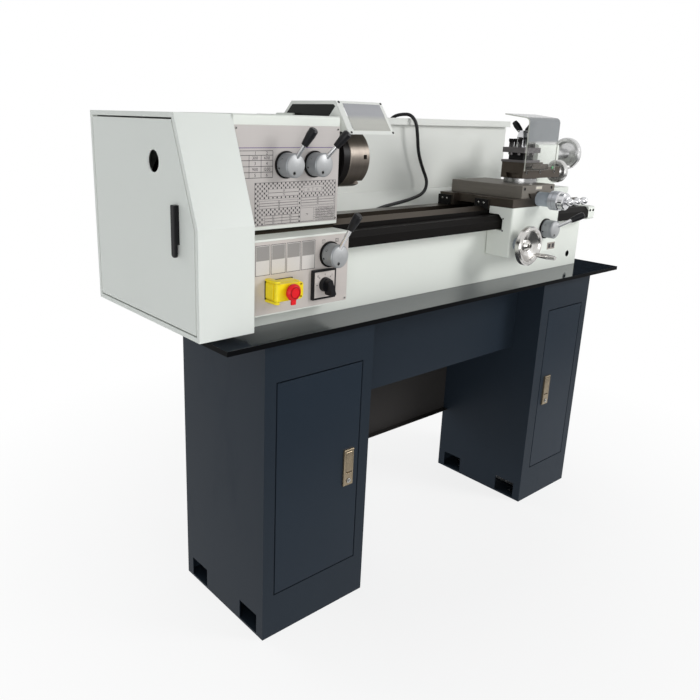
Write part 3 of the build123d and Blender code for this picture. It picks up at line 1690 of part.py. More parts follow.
parts = {
    "left_cabinet": cabinet(stand_left, left_cabinet_width, left_door_left, left_door_width, left_hinge_x),
    "right_cabinet": cabinet(
        right_cabinet_left, right_cabinet_width, right_door_left, right_door_width, right_hinge_x
    ),
    "left_door": cabinet_door(left_door_left, left_door_width, left_hinge_x, left_latch_left),
    "left_latch": latch_paddle(left_latch_left),
    "right_door": cabinet_door(right_door_left, right_door_width, right_hinge_x, right_latch_left),
    "right_latch": latch_paddle(right_latch_left),
    "stand_panels": stand_panels(),
    "chip_tray": chip_tray(),
    "bed": bed(),
    "leadscrew": leadscrew(),
    "leadscrew_gear": leadscrew_gear(),
    "leadscrew_guard": leadscrew_guard(),
    "leadscrew_bracket": leadscrew_bracket(),
    "headstock": headstock(),
    "gearbox": gearbox(),
    "control_plates": control_plates(),
    "end_cover": end_cover(),
    "cover_door": cover_door(),
    "spindle": spindle(),
    "spindle_bearings": spindle_bearings(),
    "spindle_drive": spindle_drive(),
    "motor": motor(),
    "motor_pulley": motor_pulley(),
    "drive_belt": drive_belt(),
    "idler_gear": idler_gear(),
    "chuck": chuck(),
    "chuck_guard": chuck_guard(),
    "chuck_guard_window": chuck_guard_window(),
    "guard_bracket": guard_bracket(),
    "speed_lever_left": lever(
        speed_lever_left_x, plate_front, speed_lever_z, speed_lever_left_angle, lever_reach, hub_length
    ),
    "speed_lever_right": lever(
        speed_lever_right_x, plate_front, speed_lever_z, speed_lever_right_angle, lever_reach, hub_length
    ),
    "feed_lever": lever(
        feed_lever_x, lower_front, feed_lever_z, feed_lever_angle, feed_lever_reach, hub_length
    ),
    "estop_base": estop_base_piece(),
    "estop_lid": estop_lid_piece(),
    "estop_button": estop_button_piece(),
    "switch_plate": switch_plate(),
    "switch_knob": switch_knob_piece(),
    "saddle": saddle(),
    "apron": apron(),
    "carriage_handwheel": carriage_handwheel(),
    "half_nut_lever": half_nut_lever(),
    "cross_slide": cross_slide(),
    "cross_feed_crank": cross_feed_crank(),
    "compound_base": compound_base_piece(),
    "compound_slide": compound_slide_piece(),
    "compound_handwheel": compound_handwheel(),
    "tool_post": tool_post(),
    "tool_clamp": tool_clamp(),
    "tool_shield": tool_shield(),
    "tailstock": tailstock(),
    "quill": quill(),
    "tailstock_handwheel": tailstock_handwheel(),
    "tailstock_lever": tailstock_lever(),
    "splash_guard": splash_guard(),
    "electrics_box": electrics_box(),
    "guard_cable": guard_cable(),
    "cable_glands": cable_glands(),
}
for number, angle in enumerate(jaw_angles, start=1):
    parts[f"chuck_jaw_{number}"] = chuck_jaw(angle)

os.makedirs("parts", exist_ok=True)
for name, piece in parts.items():
    export_step(piece, f"parts/{name}.step")
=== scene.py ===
"""Looks of the bench lathe on its two-cabinet stand, in metres, in the part's own frame."""

import math

import bmesh
import bpy
from mathutils import Matrix, Vector


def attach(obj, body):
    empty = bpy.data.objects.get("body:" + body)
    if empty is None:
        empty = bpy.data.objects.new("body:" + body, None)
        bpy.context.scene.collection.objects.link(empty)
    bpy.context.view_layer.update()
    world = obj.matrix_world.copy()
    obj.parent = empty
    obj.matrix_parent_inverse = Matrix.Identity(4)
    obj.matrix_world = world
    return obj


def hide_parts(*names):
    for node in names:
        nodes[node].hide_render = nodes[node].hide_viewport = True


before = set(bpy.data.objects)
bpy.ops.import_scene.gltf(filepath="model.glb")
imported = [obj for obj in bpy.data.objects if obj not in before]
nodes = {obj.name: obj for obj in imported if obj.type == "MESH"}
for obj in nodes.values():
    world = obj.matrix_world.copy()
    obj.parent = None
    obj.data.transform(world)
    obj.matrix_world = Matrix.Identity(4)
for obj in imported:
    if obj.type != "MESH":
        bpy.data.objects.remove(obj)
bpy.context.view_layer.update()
scene = bpy.context.scene
scene.view_settings.view_transform = "Standard"


def mm(*place):
    """A place or a step in mm, as a vector in metres."""
    return Vector(place) * 0.001


def axes(side, out):
    """A turn whose X looks along side and whose Z looks along out."""
    return Matrix((side, out.cross(side), out)).transposed().to_4x4()


def placed(name, data):
    """A new object of this data, in the scene."""
    made = bpy.data.objects.new(name, data)
    scene.collection.objects.link(made)
    return made


# Directions, and places in mm that several pieces share: wheel is the carriage's, feed the cross slide's
along_x, along_y, along_z = (1, 0, 0), (0, 1, 0), (0, 0, 1)
to_front, to_left = (0, -1, 0), (-1, 0, 0)
spindle_y, spindle_z = -5, 1006
leadscrew_y, leadscrew_z = -107, 845
wheel_x, wheel_z = 190, 796
feed_x, feed_z = 272.5, 904.8
compound_y, compound_z = -83, 964.1
swivel_x, post_x = 290, 283
slide_front_y = -153
upper_plate_y, lower_plate_y = -86.5, -139.5
switch_x, switch_z = -441, 769.5
bed_hole_x, bed_hole_z = (-593, 568), 722

# Camera
yaw, pitch, roll = (math.radians(angle) for angle in (40.269, 16.246, 1.619))
ahead = Vector((math.sin(yaw) * math.cos(pitch), math.cos(yaw) * math.cos(pitch), -math.sin(pitch)))
level = Vector((math.cos(yaw), -math.sin(yaw), 0))
right = level * math.cos(roll) + level.cross(ahead) * math.sin(roll)
lens = bpy.data.cameras.new("camera")
lens.sensor_width = 36
lens.lens = 36.08
lens.shift_x = 0.0571
lens.shift_y = -0.0390
eye = mm(-1345.55, -1172.91, 1087.03)
camera = placed("camera", lens)
camera.matrix_world = Matrix.Translation(eye) @ axes(right, -ahead)
scene.camera = camera

# The guard's cable, from the electrics box over the splash guard to the tray
cable_route = [
    (84, 206, 1072), (84, 206, 1087), (90, 194, 1099), (99, 176, 1104), (110, 154, 1104), (121, 142, 1084),
    (129, 142, 1050), (141, 146, 1004), (163, 146, 962), (184, 143, 926), (160, 131, 897), (98, 119, 885),
    (25, 106, 878.5), (-46, 98, 872), (-110, 94, 850), (-155, 94, 805), (-173, 94, 755), (-173, 94, 709),
]
# The bevel is in mm and the points' radius scales it to metres, because a curve's box grows by its points' radius
cable_radius, point_radius = 4.5, 0.001
cable_line = bpy.data.curves.new("guard_cord", "CURVE")
cable_line.dimensions = "3D"
strand = cable_line.splines.new("NURBS")
strand.points.add(len(cable_route) - 1)
for point, place in zip(strand.points, cable_route):
    point.co = (*mm(*place), 1)
    point.radius = point_radius
strand.order_u = 3
strand.use_endpoint_u = True
cable_line.resolution_u = 12
cable_line.bevel_depth = cable_radius
cable_line.bevel_resolution = 4
cable_line.use_fill_caps = True
guard_cord = placed("guard_cord", cable_line)
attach(guard_cord, "frame")
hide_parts("guard_cable")


# Finishes
class Value:
    """A socket of a finish. Sums on it are written as Python and add Math nodes."""

    def __init__(self, tree, socket):
        self.tree = tree
        self.socket = socket

    def sum(self, operation, first, second):
        return self.tree.node("ShaderNodeMath", {"operation": operation}, first, second)

    def __add__(self, other):
        return self.sum("ADD", self, other)

    def __sub__(self, other):
        return self.sum("SUBTRACT", self, other)

    def __rsub__(self, other):
        return self.sum("SUBTRACT", other, self)

    def __mul__(self, other):
        return self.sum("MULTIPLY", self, other)

    def __truediv__(self, other):
        return self.sum("DIVIDE", self, other)

    def __rtruediv__(self, other):
        return self.sum("DIVIDE", other, self)

    def __gt__(self, other):
        return self.sum("GREATER_THAN", self, other)

    def __lt__(self, other):
        return self.sum("LESS_THAN", self, other)

    def top(self, other):
        return self.sum("MAXIMUM", self, other)

    __radd__ = __add__
    __rmul__ = __mul__


class Tree:
    """A node tree that is filled through one method."""

    def __init__(self, tree):
        self.tree = tree

    def socket(self, sockets, key):
        if isinstance(key, int):
            return sockets[key]
        spaced = key.replace("_", " ")
        return next(s for s in sockets if s.identifier == key or s.name == spaced)

    def give(self, node, key, value):
        socket = self.socket(node.inputs, key)
        if isinstance(value, Value):
            self.tree.links.new(value.socket, socket)
        elif socket.type == "RGBA" and len(value) == 3:
            socket.default_value = (*value, 1)
        else:
            socket.default_value = value

    def node(self, kind, settings, *ordered, out=0, **named):
        made = self.tree.nodes.new(kind)
        for key, value in settings.items():
            if key == "stops":
                for stop, (at, tone) in zip(made.color_ramp.elements, value):
                    stop.position = at
                    stop.color = (tone, tone, tone, 1)
            else:
                setattr(made, key, value)
        for key, value in [*enumerate(ordered), *named.items()]:
            self.give(made, key, value)
        return Value(self, self.socket(made.outputs, out))

    def tone(self, share, first, second):
        """A colour between two, by share."""
        return self.node(
            "ShaderNodeMix", {"data_type": "RGBA"}, out="Result_Color",
            Factor_Float=share, A_Color=first, B_Color=second,
        )


def shade(red, green, blue):
    """A colour as a screen shows it (sRGB, 0 to 255), as the shader's own light values."""
    return tuple(c / 3294.6 if c < 10.3 else ((c / 255 + 0.055) / 1.055) ** 2.4 for c in (red, green, blue))


class Finish(Tree):
    """A material with its pattern written in the part's own frame."""

    def __init__(self, name, **fixed):
        self.material = bpy.data.materials.new(name)
        self.material.use_nodes = True
        super().__init__(self.material.node_tree)
        self.shader = self.tree.nodes["Principled BSDF"]
        self.wear(**fixed)
        self.place = self.node("ShaderNodeTexCoord", {}, out="Object")

    def stretched(self, by):
        return self.node("ShaderNodeVectorMath", {"operation": "MULTIPLY"}, self.place, by)

    def cloud(self, scale, detail, by=(1, 1, 1), roughness=0.55):
        """Soft noise; by stretches it along the axes."""
        place = self.place if by == (1, 1, 1) else self.stretched(by)
        return self.node("ShaderNodeTexNoise", {}, Vector=place, Scale=scale, Detail=detail, Roughness=roughness)

    def rings(self, at):
        """Noise along one length."""
        return self.node("ShaderNodeTexNoise", {"noise_dimensions": "1D"}, W=at, Scale=1.0, Detail=2.0)

    def ramp(self, value, *stops):
        return self.node("ShaderNodeValToRGB", {"stops": stops}, value)

    def along(self, axis):
        """A point's place along X, Y or Z, in metres."""
        return self.node("ShaderNodeSeparateXYZ", {}, self.place, out=axis)

    def radius(self, center, along):
        """How far a point is from a turning axis, in metres."""
        off = self.node("ShaderNodeVectorMath", {"operation": "SUBTRACT"}, self.place, center)
        flat = tuple(1 - a for a in along)
        off = self.node("ShaderNodeVectorMath", {"operation": "MULTIPLY"}, off, flat)
        return self.node("ShaderNodeVectorMath", {"operation": "LENGTH"}, off, out="Value")

    def relief(self, height, strength, depth, edge):
        """Bump by a height, over edges that look rounded by so many metres."""
        soft = self.node("ShaderNodeBevel", {"samples": 4}, Radius=edge)
        self.wear(Normal=self.node("ShaderNodeBump", {}, Height=height, Strength=strength, Distance=depth, Normal=soft))

    def wear(self, **values):
        """Feed sockets of the shader."""
        for key, value in values.items():
            self.give(self.shader, key, value)


def darker(tint, by):
    """A colour times a number."""
    return tuple(c * by for c in tint)


def enamel(name, tint, gloss=0.3, edge=0.0012, shine=0.12):
    """Machine paint: a slow change of tone, a faint orange peel, and softly rounded edges."""
    f = Finish(name, IOR=1.5, Specular_IOR_Level=shine)
    slow = f.cloud(3.0, 2)
    fine = f.cloud(40.0, 3)
    f.wear(Base_Color=f.tone(slow * 0.9 + fine * 0.1, darker(tint, 0.975), darker(tint, 1.02)))
    f.wear(Roughness=gloss + (fine - 0.5) * 0.03)
    f.relief(f.cloud(260.0, 2), 0.012, 0.0004, edge)
    return f


def powder(name, tint, gloss=0.42, edge=0.0005, shine=0.1):
    """Powder coat: a fine texture, faint rubbed marks and a slow change of tone."""
    f = Finish(name, IOR=1.5, Specular_IOR_Level=shine)
    slow = f.cloud(2.2, 3)
    rub = f.ramp(f.cloud(9.0, 6, (1, 1, 0.35), 0.7), (0.55, 0), (0.75, 1))
    f.wear(Base_Color=f.tone(slow, darker(tint, 0.88), darker(tint, 1.12)))
    f.wear(Roughness=gloss + rub * 0.1 + (slow - 0.5) * 0.1)
    f.relief(f.cloud(900.0, 2), 0.1, 0.0004, edge)
    return f


def ground(name, tint, lines, gloss=0.34, edge=0.0008, depth=0.3, metal=0.85, shine=0.3):
    """Ground steel: fine parallel lines, with broader tarnish and oil tone."""
    f = Finish(name, Metallic=metal, IOR=1.5, Specular_IOR_Level=shine)
    scratch = f.cloud(1.0, 2, lines)
    streak = f.cloud(0.18, 3, lines)
    stain = f.cloud(14.0, 5, roughness=0.65)
    f.wear(Base_Color=f.tone(scratch * 0.35 + streak * 0.35 + stain * 0.3, darker(tint, 0.62), darker(tint, 1.35)))
    f.wear(Roughness=gloss + (scratch - 0.5) * 0.18 + (stain - 0.5) * 0.2)
    f.relief(scratch, depth, 0.00012, edge)
    return f


def turned(name, tint, center, along, gloss=0.22, metal=1.0, depth=0.25, edge=0.0006):
    """Turned steel: rings about its axis, on its rim and on its faces."""
    f = Finish(name, Metallic=metal, IOR=1.5)
    out = f.radius(center, along)
    place = f.along(along.index(1))
    fine_pitch, broad_pitch = 1400.0, 160.0
    ring = f.rings((out + place) * fine_pitch)
    broad = f.rings((out - place) * broad_pitch)
    f.wear(Base_Color=f.tone(ring * 0.5 + broad * 0.5, darker(tint, 0.72), darker(tint, 1.22)))
    f.wear(Roughness=gloss + (ring - 0.5) * 0.16 + (f.cloud(30.0, 3) - 0.5) * 0.1)
    f.relief(ring, depth, 0.0001, edge)
    return f


def moulded(name, tint, gloss=0.4, grain=700.0, edge=0.0008, shine=0.5, uneven=0.15):
    """Moulded plastic: a fine grain and slightly scuffed gloss."""
    f = Finish(name, IOR=1.46, Specular_IOR_Level=shine)
    scuff = f.cloud(55.0, 5, roughness=0.7)
    f.wear(Base_Color=f.tone(scuff, darker(tint, 1 - uneven), darker(tint, 1 + uneven)))
    f.wear(Roughness=gloss + (scuff - 0.5) * 0.25)
    f.relief(f.cloud(grain, 2), 0.12, 0.0003, edge)
    return f


spindle_line = mm(0, spindle_y, spindle_z)
leadscrew_line = mm(0, leadscrew_y, leadscrew_z)
compound_line = mm(0, compound_y, compound_z)
white_casting = enamel("white_casting", shade(233, 236, 229), 0.32, 0.0018)
white_sheet = enamel("white_sheet", shade(228, 231, 226), 0.3, 0.0006)
white_guard = enamel("white_guard", shade(232, 233, 228), 0.16, 0.0006, 0.35)
blue_coat = powder("cabinet_coat", shade(36, 44, 53))
panel_coat = powder("panel_coat", shade(52, 50, 49), 0.5)
door_coat = powder("door_coat", shade(36, 45, 55), 0.36)
tray_coat = powder("tray_coat", shade(30, 38, 48), 0.05, 0.0006, 0.6)
# Painted shade: the tray's upright edge faces are near black for the shade along its thin edge
hem_painted_shade = powder("tray_hem_painted_shade", shade(8, 9, 11), 0.5, 0.0004, 0.04)
# Painted highlight: the tray's downward faces are brownish for the thin bright line along its edge
rim_painted_highlight = powder("tray_rim_painted_highlight", shade(92, 78, 64), 0.4, 0.0004)
# Painted shade: near black for screw recesses, key slots, the latch cups and the bed's bolt holes, which look dark
# because shade falls in them; the dark cards use it too
painted_shade_dark = powder("near_black_painted_shade", shade(22, 24, 27), 0.5)
way_steel = ground("way_steel", shade(74, 67, 59), (6, 900, 900))
bed_inside = ground("bed_inside", shade(52, 46, 40), (80, 300, 300), 0.5)
slide_steel = ground("slide_steel", shade(122, 117, 110), (900, 30, 900), 0.5, metal=0.25, shine=0.1)
compound_steel = ground("compound_steel", shade(78, 71, 64), (30, 900, 500))
saddle_steel = ground("saddle_steel", shade(84, 77, 70), (700, 60, 700), 0.4)
post_steel = ground("post_steel", shade(104, 101, 102), (500, 40, 500), 0.36)
# Black oxide for the tool post's bolts, and also painted shade in the band between its plates
oxide_and_gap_shade = powder("oxide_and_gap_shade", shade(22, 21, 22), 0.36, 0.0004, 0.1)
rack_steel = ground("rack_steel", shade(84, 78, 72), (700, 700, 40), 0.42)
disc_steel = turned("swivel_steel", shade(146, 146, 146), mm(swivel_x, compound_y, 0), along_z, 0.2)
chuck_steel = turned("chuck_steel", shade(112, 104, 96), spindle_line, along_x, 0.36, 0.7)
jaw_steel = ground("jaw_steel", shade(138, 130, 122), (60, 800, 800), 0.3)
spindle_steel = turned("spindle_steel", shade(150, 147, 143), spindle_line, along_x, 0.26)
quill_steel = turned("quill_steel", shade(186, 184, 180), spindle_line, along_x, 0.2)
screw_steel = turned("leadscrew_steel", shade(122, 114, 106), leadscrew_line, along_x, 0.3, 0.9, 0.6)
tail_chrome = turned("tail_wheel_polish", shade(208, 208, 208), spindle_line, along_x, 0.26, 0.85)
carriage_chrome = turned("carriage_wheel_polish", shade(205, 203, 200), mm(wheel_x, 0, wheel_z), along_y, 0.2, 0.95)
compound_chrome = turned("compound_wheel_polish", shade(203, 202, 200), compound_line, along_x, 0.26, 0.85)
dial_polish = turned("dial_polish", shade(190, 193, 199), mm(feed_x, 0, feed_z), along_y, 0.36, 0.6)
ball_polish = ground("ball_polish", shade(214, 214, 216), (90, 90, 90), 0.12)
clamp_polish = turned("clamp_polish", shade(200, 200, 202), mm(post_x, compound_y, 0), along_z, 0.16)
rod_polish = ground("rod_polish", shade(208, 208, 209), (200, 200, 30), 0.14)
bearing_blue = enamel("screw_bearing_paint", shade(168, 176, 184), 0.3)
gear_steel = ground("gear_steel", shade(150, 146, 140), (40, 500, 500), 0.36)
cast_grey = ground("cast_grey", shade(126, 124, 121), (220, 220, 220), 0.5)
motor_paint = enamel("motor_paint", shade(78, 86, 96), 0.38)
black_sheet = powder("black_sheet", shade(17, 15, 14), 0.42, 0.0008, 0.06)
# Black for real black caps, brackets and lever rings, and painted shade on the spindle's flange and the chuck's back
# plate
black_cap_and_gap_shade = powder("black_cap_and_gap_shade", shade(24, 22, 22), 0.34, 0.001, 0.1)
black_grip = moulded("black_grip", shade(24, 24, 27), 0.36, shine=0.25)
black_base = moulded("black_base", shade(24, 24, 26), 0.42, shine=0.2)
pull_black = moulded("pull_black", shade(24, 24, 26), 0.42, shine=0.15)
stop_yellow = moulded("stop_yellow", shade(252, 226, 20), 0.34, 400.0, 0.003)
stop_red = moulded("stop_red", shade(230, 26, 36), 0.34, 400.0, 0.002, 0.3)
rubber = moulded("cable_rubber", shade(22, 22, 24), 0.45, 900.0, shine=0.3)
wiper_rubber = moulded("wiper_rubber", shade(26, 25, 25), 0.55, 900.0, shine=0.15)
box_plastic = moulded("box_plastic", shade(222, 222, 214), 0.42, 500.0, uneven=0.03)
oiler_green = moulded("oiler_green", shade(30, 150, 80), 0.3, 500.0)


def hub_finish(name, x, z, tint):
    """Satin turned hub of a lever."""
    return turned(name, tint, mm(x, 0, z), along_y, 0.42, 0.3, 0.2)


def plate_finish(name, tint):
    """Satin printed sheet: fine lines along it and a faint warm tone."""
    f = Finish(name, Metallic=0.12, IOR=1.5, Specular_IOR_Level=0.3)
    line = f.cloud(1.0, 2, (12, 900, 900))
    slow = f.cloud(6.0, 3)
    f.wear(Base_Color=f.tone(line * 0.4 + slow * 0.6, darker(tint, 0.93), darker(tint, 1.07)))
    f.wear(Roughness=0.36 + (line - 0.5) * 0.14)
    f.relief(line, 0.1, 0.0001, 0.0004)
    return f


def pane_finish(name, tint, cover):
    """Clear sheet with a tone that hides a share of what is behind it, a little hazier where it is wiped."""
    f = Finish(name, IOR=1.49, Specular_IOR_Level=0.6)
    wipe = f.cloud(7.0, 4, (1, 1, 0.4))
    f.wear(Base_Color=f.tone(wipe, darker(tint, 0.9), darker(tint, 1.1)))
    f.wear(Alpha=cover + (wipe - 0.5) * 0.08, Roughness=0.06 + wipe * 0.06)
    return f


def painted_reflection_pane(name, edge, below, above):
    """Sheet whose tones, paler below a height and greyer above, are painted reflection and shade for what shows in it;
    below and above are a tone and the share that it hides.
    """
    f = Finish(name, IOR=1.49, Specular_IOR_Level=0.2)
    wipe = f.cloud(9.0, 4, (1, 1, 0.4))
    fade = 0.01
    upper_share = f.ramp((f.along(2) - edge) / fade, (0, 0), (1, 1))
    (clear_tint, clear_cover), (upper_tint, upper_cover) = below, above
    clear = f.tone(wipe, darker(clear_tint, 0.94), clear_tint)
    upper_tone = f.tone(wipe, darker(upper_tint, 0.9), upper_tint)
    f.wear(Base_Color=f.tone(upper_share, clear, upper_tone))
    f.wear(Alpha=clear_cover + upper_share * (upper_cover - clear_cover) + (wipe - 0.5) * 0.06)
    f.wear(Roughness=0.06 + wipe * 0.06)
    return f


def bronze_finish():
    """Brushed latch plates, warmer and darker in the brushing."""
    f = Finish("latch_bronze", Metallic=0.9, IOR=1.5)
    brush = f.cloud(1.0, 3, (900, 900, 40))
    stain = f.cloud(60.0, 4)
    f.wear(Base_Color=f.tone(brush * 0.6 + stain * 0.4, shade(104, 92, 74), shade(188, 172, 146)))
    f.wear(Roughness=0.24 + (brush - 0.5) * 0.2)
    f.relief(brush, 0.2, 0.0001, 0.0005)
    return f


def ink_finish(name, tint):
    """Printed ink, a little uneven."""
    f = Finish(name, IOR=1.45)
    f.wear(Base_Color=f.tone(f.cloud(300.0, 2), darker(tint, 0.95), darker(tint, 1.05)))
    f.wear(Roughness=0.42 + f.cloud(90.0, 2) * 0.12)
    return f


upper_plate = plate_finish("upper_plate", shade(192, 186, 183))
lower_plate = plate_finish("lower_plate", shade(206, 198, 193))
# The shield's upper part is a grey, nearly opaque tone: painted reflection and shade in the pane; below it the pane
# stays clear
shield_pane = painted_reflection_pane("shield_pane", 1.038, (shade(206, 206, 200), 0.04), (shade(148, 151, 153), 0.84))
# Painted highlight: pale and nearly opaque on the tool shield's end and bottom edges, for the bright line light makes
# along them
pane_painted_highlight = pane_finish("pane_painted_highlight", shade(214, 216, 206), 0.85)
window_pane = pane_finish("window_pane", shade(150, 152, 154), 0.06)
# The hood window's sheet is nearly opaque, pale below and greyer above: painted reflection and shade in place of the
# view through the window
window_sheet = painted_reflection_pane("window_sheet", 1.086, (shade(212, 211, 204), 0.7), (shade(184, 184, 188), 0.88))
# Painted shade: a near-black pane in the hood's open end, standing for its unlit inside
hood_end_painted_shade = moulded("hood_end_painted_shade", shade(29, 31, 28), 0.2, 200.0, shine=0.15)
latch_bronze = bronze_finish()
ink_dark = ink_finish("ink_dark", shade(44, 40, 44))
ink_violet = ink_finish("ink_violet", shade(96, 70, 128))
ink_pale = ink_finish("ink_pale", shade(212, 207, 203))
ink_mid = ink_finish("ink_mid", shade(150, 146, 143))
label_brown = ink_finish("label_brown", shade(158, 150, 142))
label_cream = ink_finish("label_cream", shade(214, 208, 192))
ink_white = ink_finish("ink_white", shade(236, 236, 236))
bolt_black = ground("bolt_black", shade(40, 39, 40), (400, 400, 400), 0.36)
bolt_bright = ground("bolt_bright", shade(176, 174, 170), (500, 500, 60), 0.26)
guard_cord.data.materials.append(rubber.material)


# Dressing the machine's solids
def dress(name, finish, *rules):
    """Give a node one finish, and another wherever a rule on a face's middle, in mm, and its normal holds."""
    mesh = nodes[name].data
    mesh.materials.clear()
    for each in (finish, *(rule[0] for rule in rules)):
        mesh.materials.append(each.material)
    for face in mesh.polygons:
        face.material_index = 0
        for index, (_, holds) in enumerate(rules):
            if holds(face.center * 1000, face.normal):
                face.material_index = index + 1
                break


def near_axis(x, z, reach):
    return lambda p, n: math.hypot(p.x - x, p.z - z) < reach


def left_of(x):
    return lambda p, n: p.x < x


def right_of(x):
    return lambda p, n: p.x > x


def ahead_of(y):
    return lambda p, n: p.y < y


def above(z):
    return lambda p, n: p.z > z


def below(z):
    return lambda p, n: p.z < z


# Solids with one finish all over
for finish, names in (
    (blue_coat, ("left_cabinet", "right_cabinet")),
    (latch_bronze, ("left_latch", "right_latch")),
    (white_casting, ("leadscrew_bracket", "headstock", "apron")),
    (white_sheet, ("end_cover",)),
    (white_guard, ("chuck_guard", "splash_guard")),
    (window_pane, ("chuck_guard_window",)),
    (screw_steel, ("leadscrew",)),
    (black_sheet, ("leadscrew_guard",)),
    (gear_steel, ("spindle_drive", "idler_gear", "leadscrew_gear", "motor_pulley")),
    (motor_paint, ("motor",)),
    (rubber, ("drive_belt", "cable_glands")),
    (jaw_steel, ("chuck_jaw_1", "chuck_jaw_2", "chuck_jaw_3")),
    (stop_yellow, ("estop_base", "estop_lid")),
    (stop_red, ("estop_button",)),
    (black_base, ("switch_plate",)),
    (black_grip, ("switch_knob",)),
    (slide_steel, ("cross_slide",)),
    (compound_chrome, ("compound_handwheel",)),
    (quill_steel, ("quill",)),
    (tail_chrome, ("tailstock_handwheel",)),
    (box_plastic, ("electrics_box",)),
):
    for name in names:
        dress(name, finish)

# Solids with several finishes
dress("stand_panels", blue_coat, (panel_coat, lambda p, n: p.y > 0))
for name in ("left_door", "right_door"):
    dress(name, door_coat, (latch_bronze, ahead_of(-155.1)))
dress(
    "chip_tray",
    tray_coat,
    # downward faces brownish: painted highlight
    (rim_painted_highlight, lambda p, n: n.z < -0.7 and p.z < 679),
    # upright edge faces near black: painted shade
    (hem_painted_shade, lambda p, n: abs(n.z) < 0.5),
)
bed_holes = [near_axis(x, bed_hole_z, 18) for x in bed_hole_x]
dress(
    "bed",
    white_casting,
    # The walls of the bed's front holes are near black: painted shade in the holes
    (painted_shade_dark, lambda p, n: -85.9 < p.y < -70 and any(hole(p, n) for hole in bed_holes)),
    (rack_steel, ahead_of(-86.5)),
    (way_steel, lambda p, n: p.z > 862 and (n.z > 0.3 or p.y < -80)),
    (bed_inside, lambda p, n: -85 < p.y < 75 and abs(n.x) < 0.5 and p.z > 790),
)
dress("gearbox", white_casting, (cast_grey, left_of(-617.5)))
dress("control_plates", upper_plate, (lower_plate, below(870)))
dress("cover_door", white_sheet, (pull_black, left_of(-734.8)))
dress("spindle_bearings", black_cap_and_gap_shade, (spindle_steel, left_of(-359.9)))
# The spindle's flange and the chuck's back plate are black: painted shade for the dark gap between headstock and chuck
dress("spindle", spindle_steel, (black_cap_and_gap_shade, right_of(-346)))
dress("chuck", chuck_steel, (black_cap_and_gap_shade, left_of(-310.2)))
dress("guard_bracket", white_casting, (bolt_bright, right_of(-354.9)))
dress(
    "saddle",
    saddle_steel,
    (wiper_rubber, lambda p, n: p.x < 160.8 or p.x > 373.2),
    (bearing_blue, ahead_of(-157.2)),
)
wheel_boss = near_axis(wheel_x, wheel_z, 20)
dress("carriage_handwheel", carriage_chrome, (bearing_blue, lambda p, n: p.y > -188 and wheel_boss(p, n)))
dress("cross_feed_crank", dial_polish, (ball_polish, ahead_of(-214)))
dress("compound_base", disc_steel, (compound_steel, above(952.3)))
dress("compound_slide", compound_steel, (black_cap_and_gap_shade, right_of(422.2)))
# Bolts above; the band between the plates has the same black as painted shade in the gap
dress("tool_post", post_steel, (oxide_and_gap_shade, lambda p, n: p.z > 1029.6 or 998.5 < p.z < 1016.2))
dress(
    "tool_clamp",
    clamp_polish,
    (black_grip, lambda p, n: p.z > 1071.7 or math.hypot(p.x - post_x, p.y - compound_y) > 15.2),
)
dress(
    "tool_shield",
    shield_pane,
    (compound_steel, lambda p, n: p.y > -136.9 and p.z < 992),
    # pale end and bottom edges: painted highlight
    (pane_painted_highlight, lambda p, n: abs(n.x) > 0.9 or (n.z < -0.9 and p.z < 976)),
)
dress("tailstock", white_casting, (cast_grey, below(862)), (spindle_steel, right_of(529.2)))
dress("tailstock_lever", rod_polish, (black_grip, above(1041)))

# Each lever's x, the front of what it stands on, its z, hub depth, rod's reach, and angle from upright
levers = {
    "speed_lever_left": (-498, upper_plate_y, 1000, 28, 47, 14),
    "speed_lever_right": (-427, upper_plate_y, 1000, 28, 47, 27),
    "feed_lever": (-424.7, lower_plate_y, 827.7, 28, 66, 4),
    "half_nut_lever": (312, -159.2, 826, 27, 56, 60),
}
lever_lean = math.radians(32)
hub_radius = 23
hub_ring = 4


def dress_lever(name, x, face_y, z, hub, reach, angle):
    """Black ring, turned hub, polished rod and black grip."""
    up = math.radians(angle)
    raised = math.cos(lever_lean)
    way = Vector((math.sin(up) * raised, -math.sin(lever_lean), math.cos(up) * raised))
    ring_front = face_y - hub_ring
    root = Vector((x, ring_front - hub * 0.55, z))
    on_hub = near_axis(x, z, hub_radius + 0.4)
    dress(
        name,
        hub_finish(name + "_hub", x, z, shade(152, 155, 158)),
        (black_cap_and_gap_shade, lambda p, n: p.y > ring_front - 0.05),
        (black_grip, lambda p, n: (p - root).dot(way) > reach - 0.2 and not on_hub(p, n)),
        (rod_polish, lambda p, n: not on_hub(p, n)),
    )


for name, sizes in levers.items():
    dress_lever(name, *sizes)


# Making added pieces
square = ((-1, -1), (1, -1), (1, 1), (-1, 1))
skin_depth = 0.00005
sharp_angle = math.radians(35)


def meshed(name, shape):
    """The mesh of a shape that is ready."""
    mesh = bpy.data.meshes.new(name)
    shape.to_mesh(mesh)
    shape.free()
    return mesh


def piece(name, shape, finish, body, smooth=False):
    """A mesh of one finish, or of several by face index, that rides on a body. An open shape gets a thin skin."""
    skin = any(edge.is_boundary for edge in shape.edges)
    mesh = meshed(name, shape)
    for each in finish if isinstance(finish, tuple) else (finish,):
        mesh.materials.append(each.material)
    if smooth:
        mesh.shade_smooth()
        mesh.set_sharp_from_angle(angle=sharp_angle)
    made = placed(name, mesh)
    if skin:
        depth = made.modifiers.new("skin_depth", "SOLIDIFY")
        depth.thickness = skin_depth
        depth.offset = -1
    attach(made, body)


def facing(direction):
    """A turn whose Z looks along a direction and whose Y stays as upright as it can."""
    out = Vector(direction).normalized()
    up = Vector(along_z if abs(out.z) < 0.9 else along_y)
    return axes(up.cross(out).normalized(), out)


def seat(place, direction):
    """A place in mm, turned so that its Z looks along a direction."""
    return Matrix.Translation(mm(*place)) @ facing(direction)


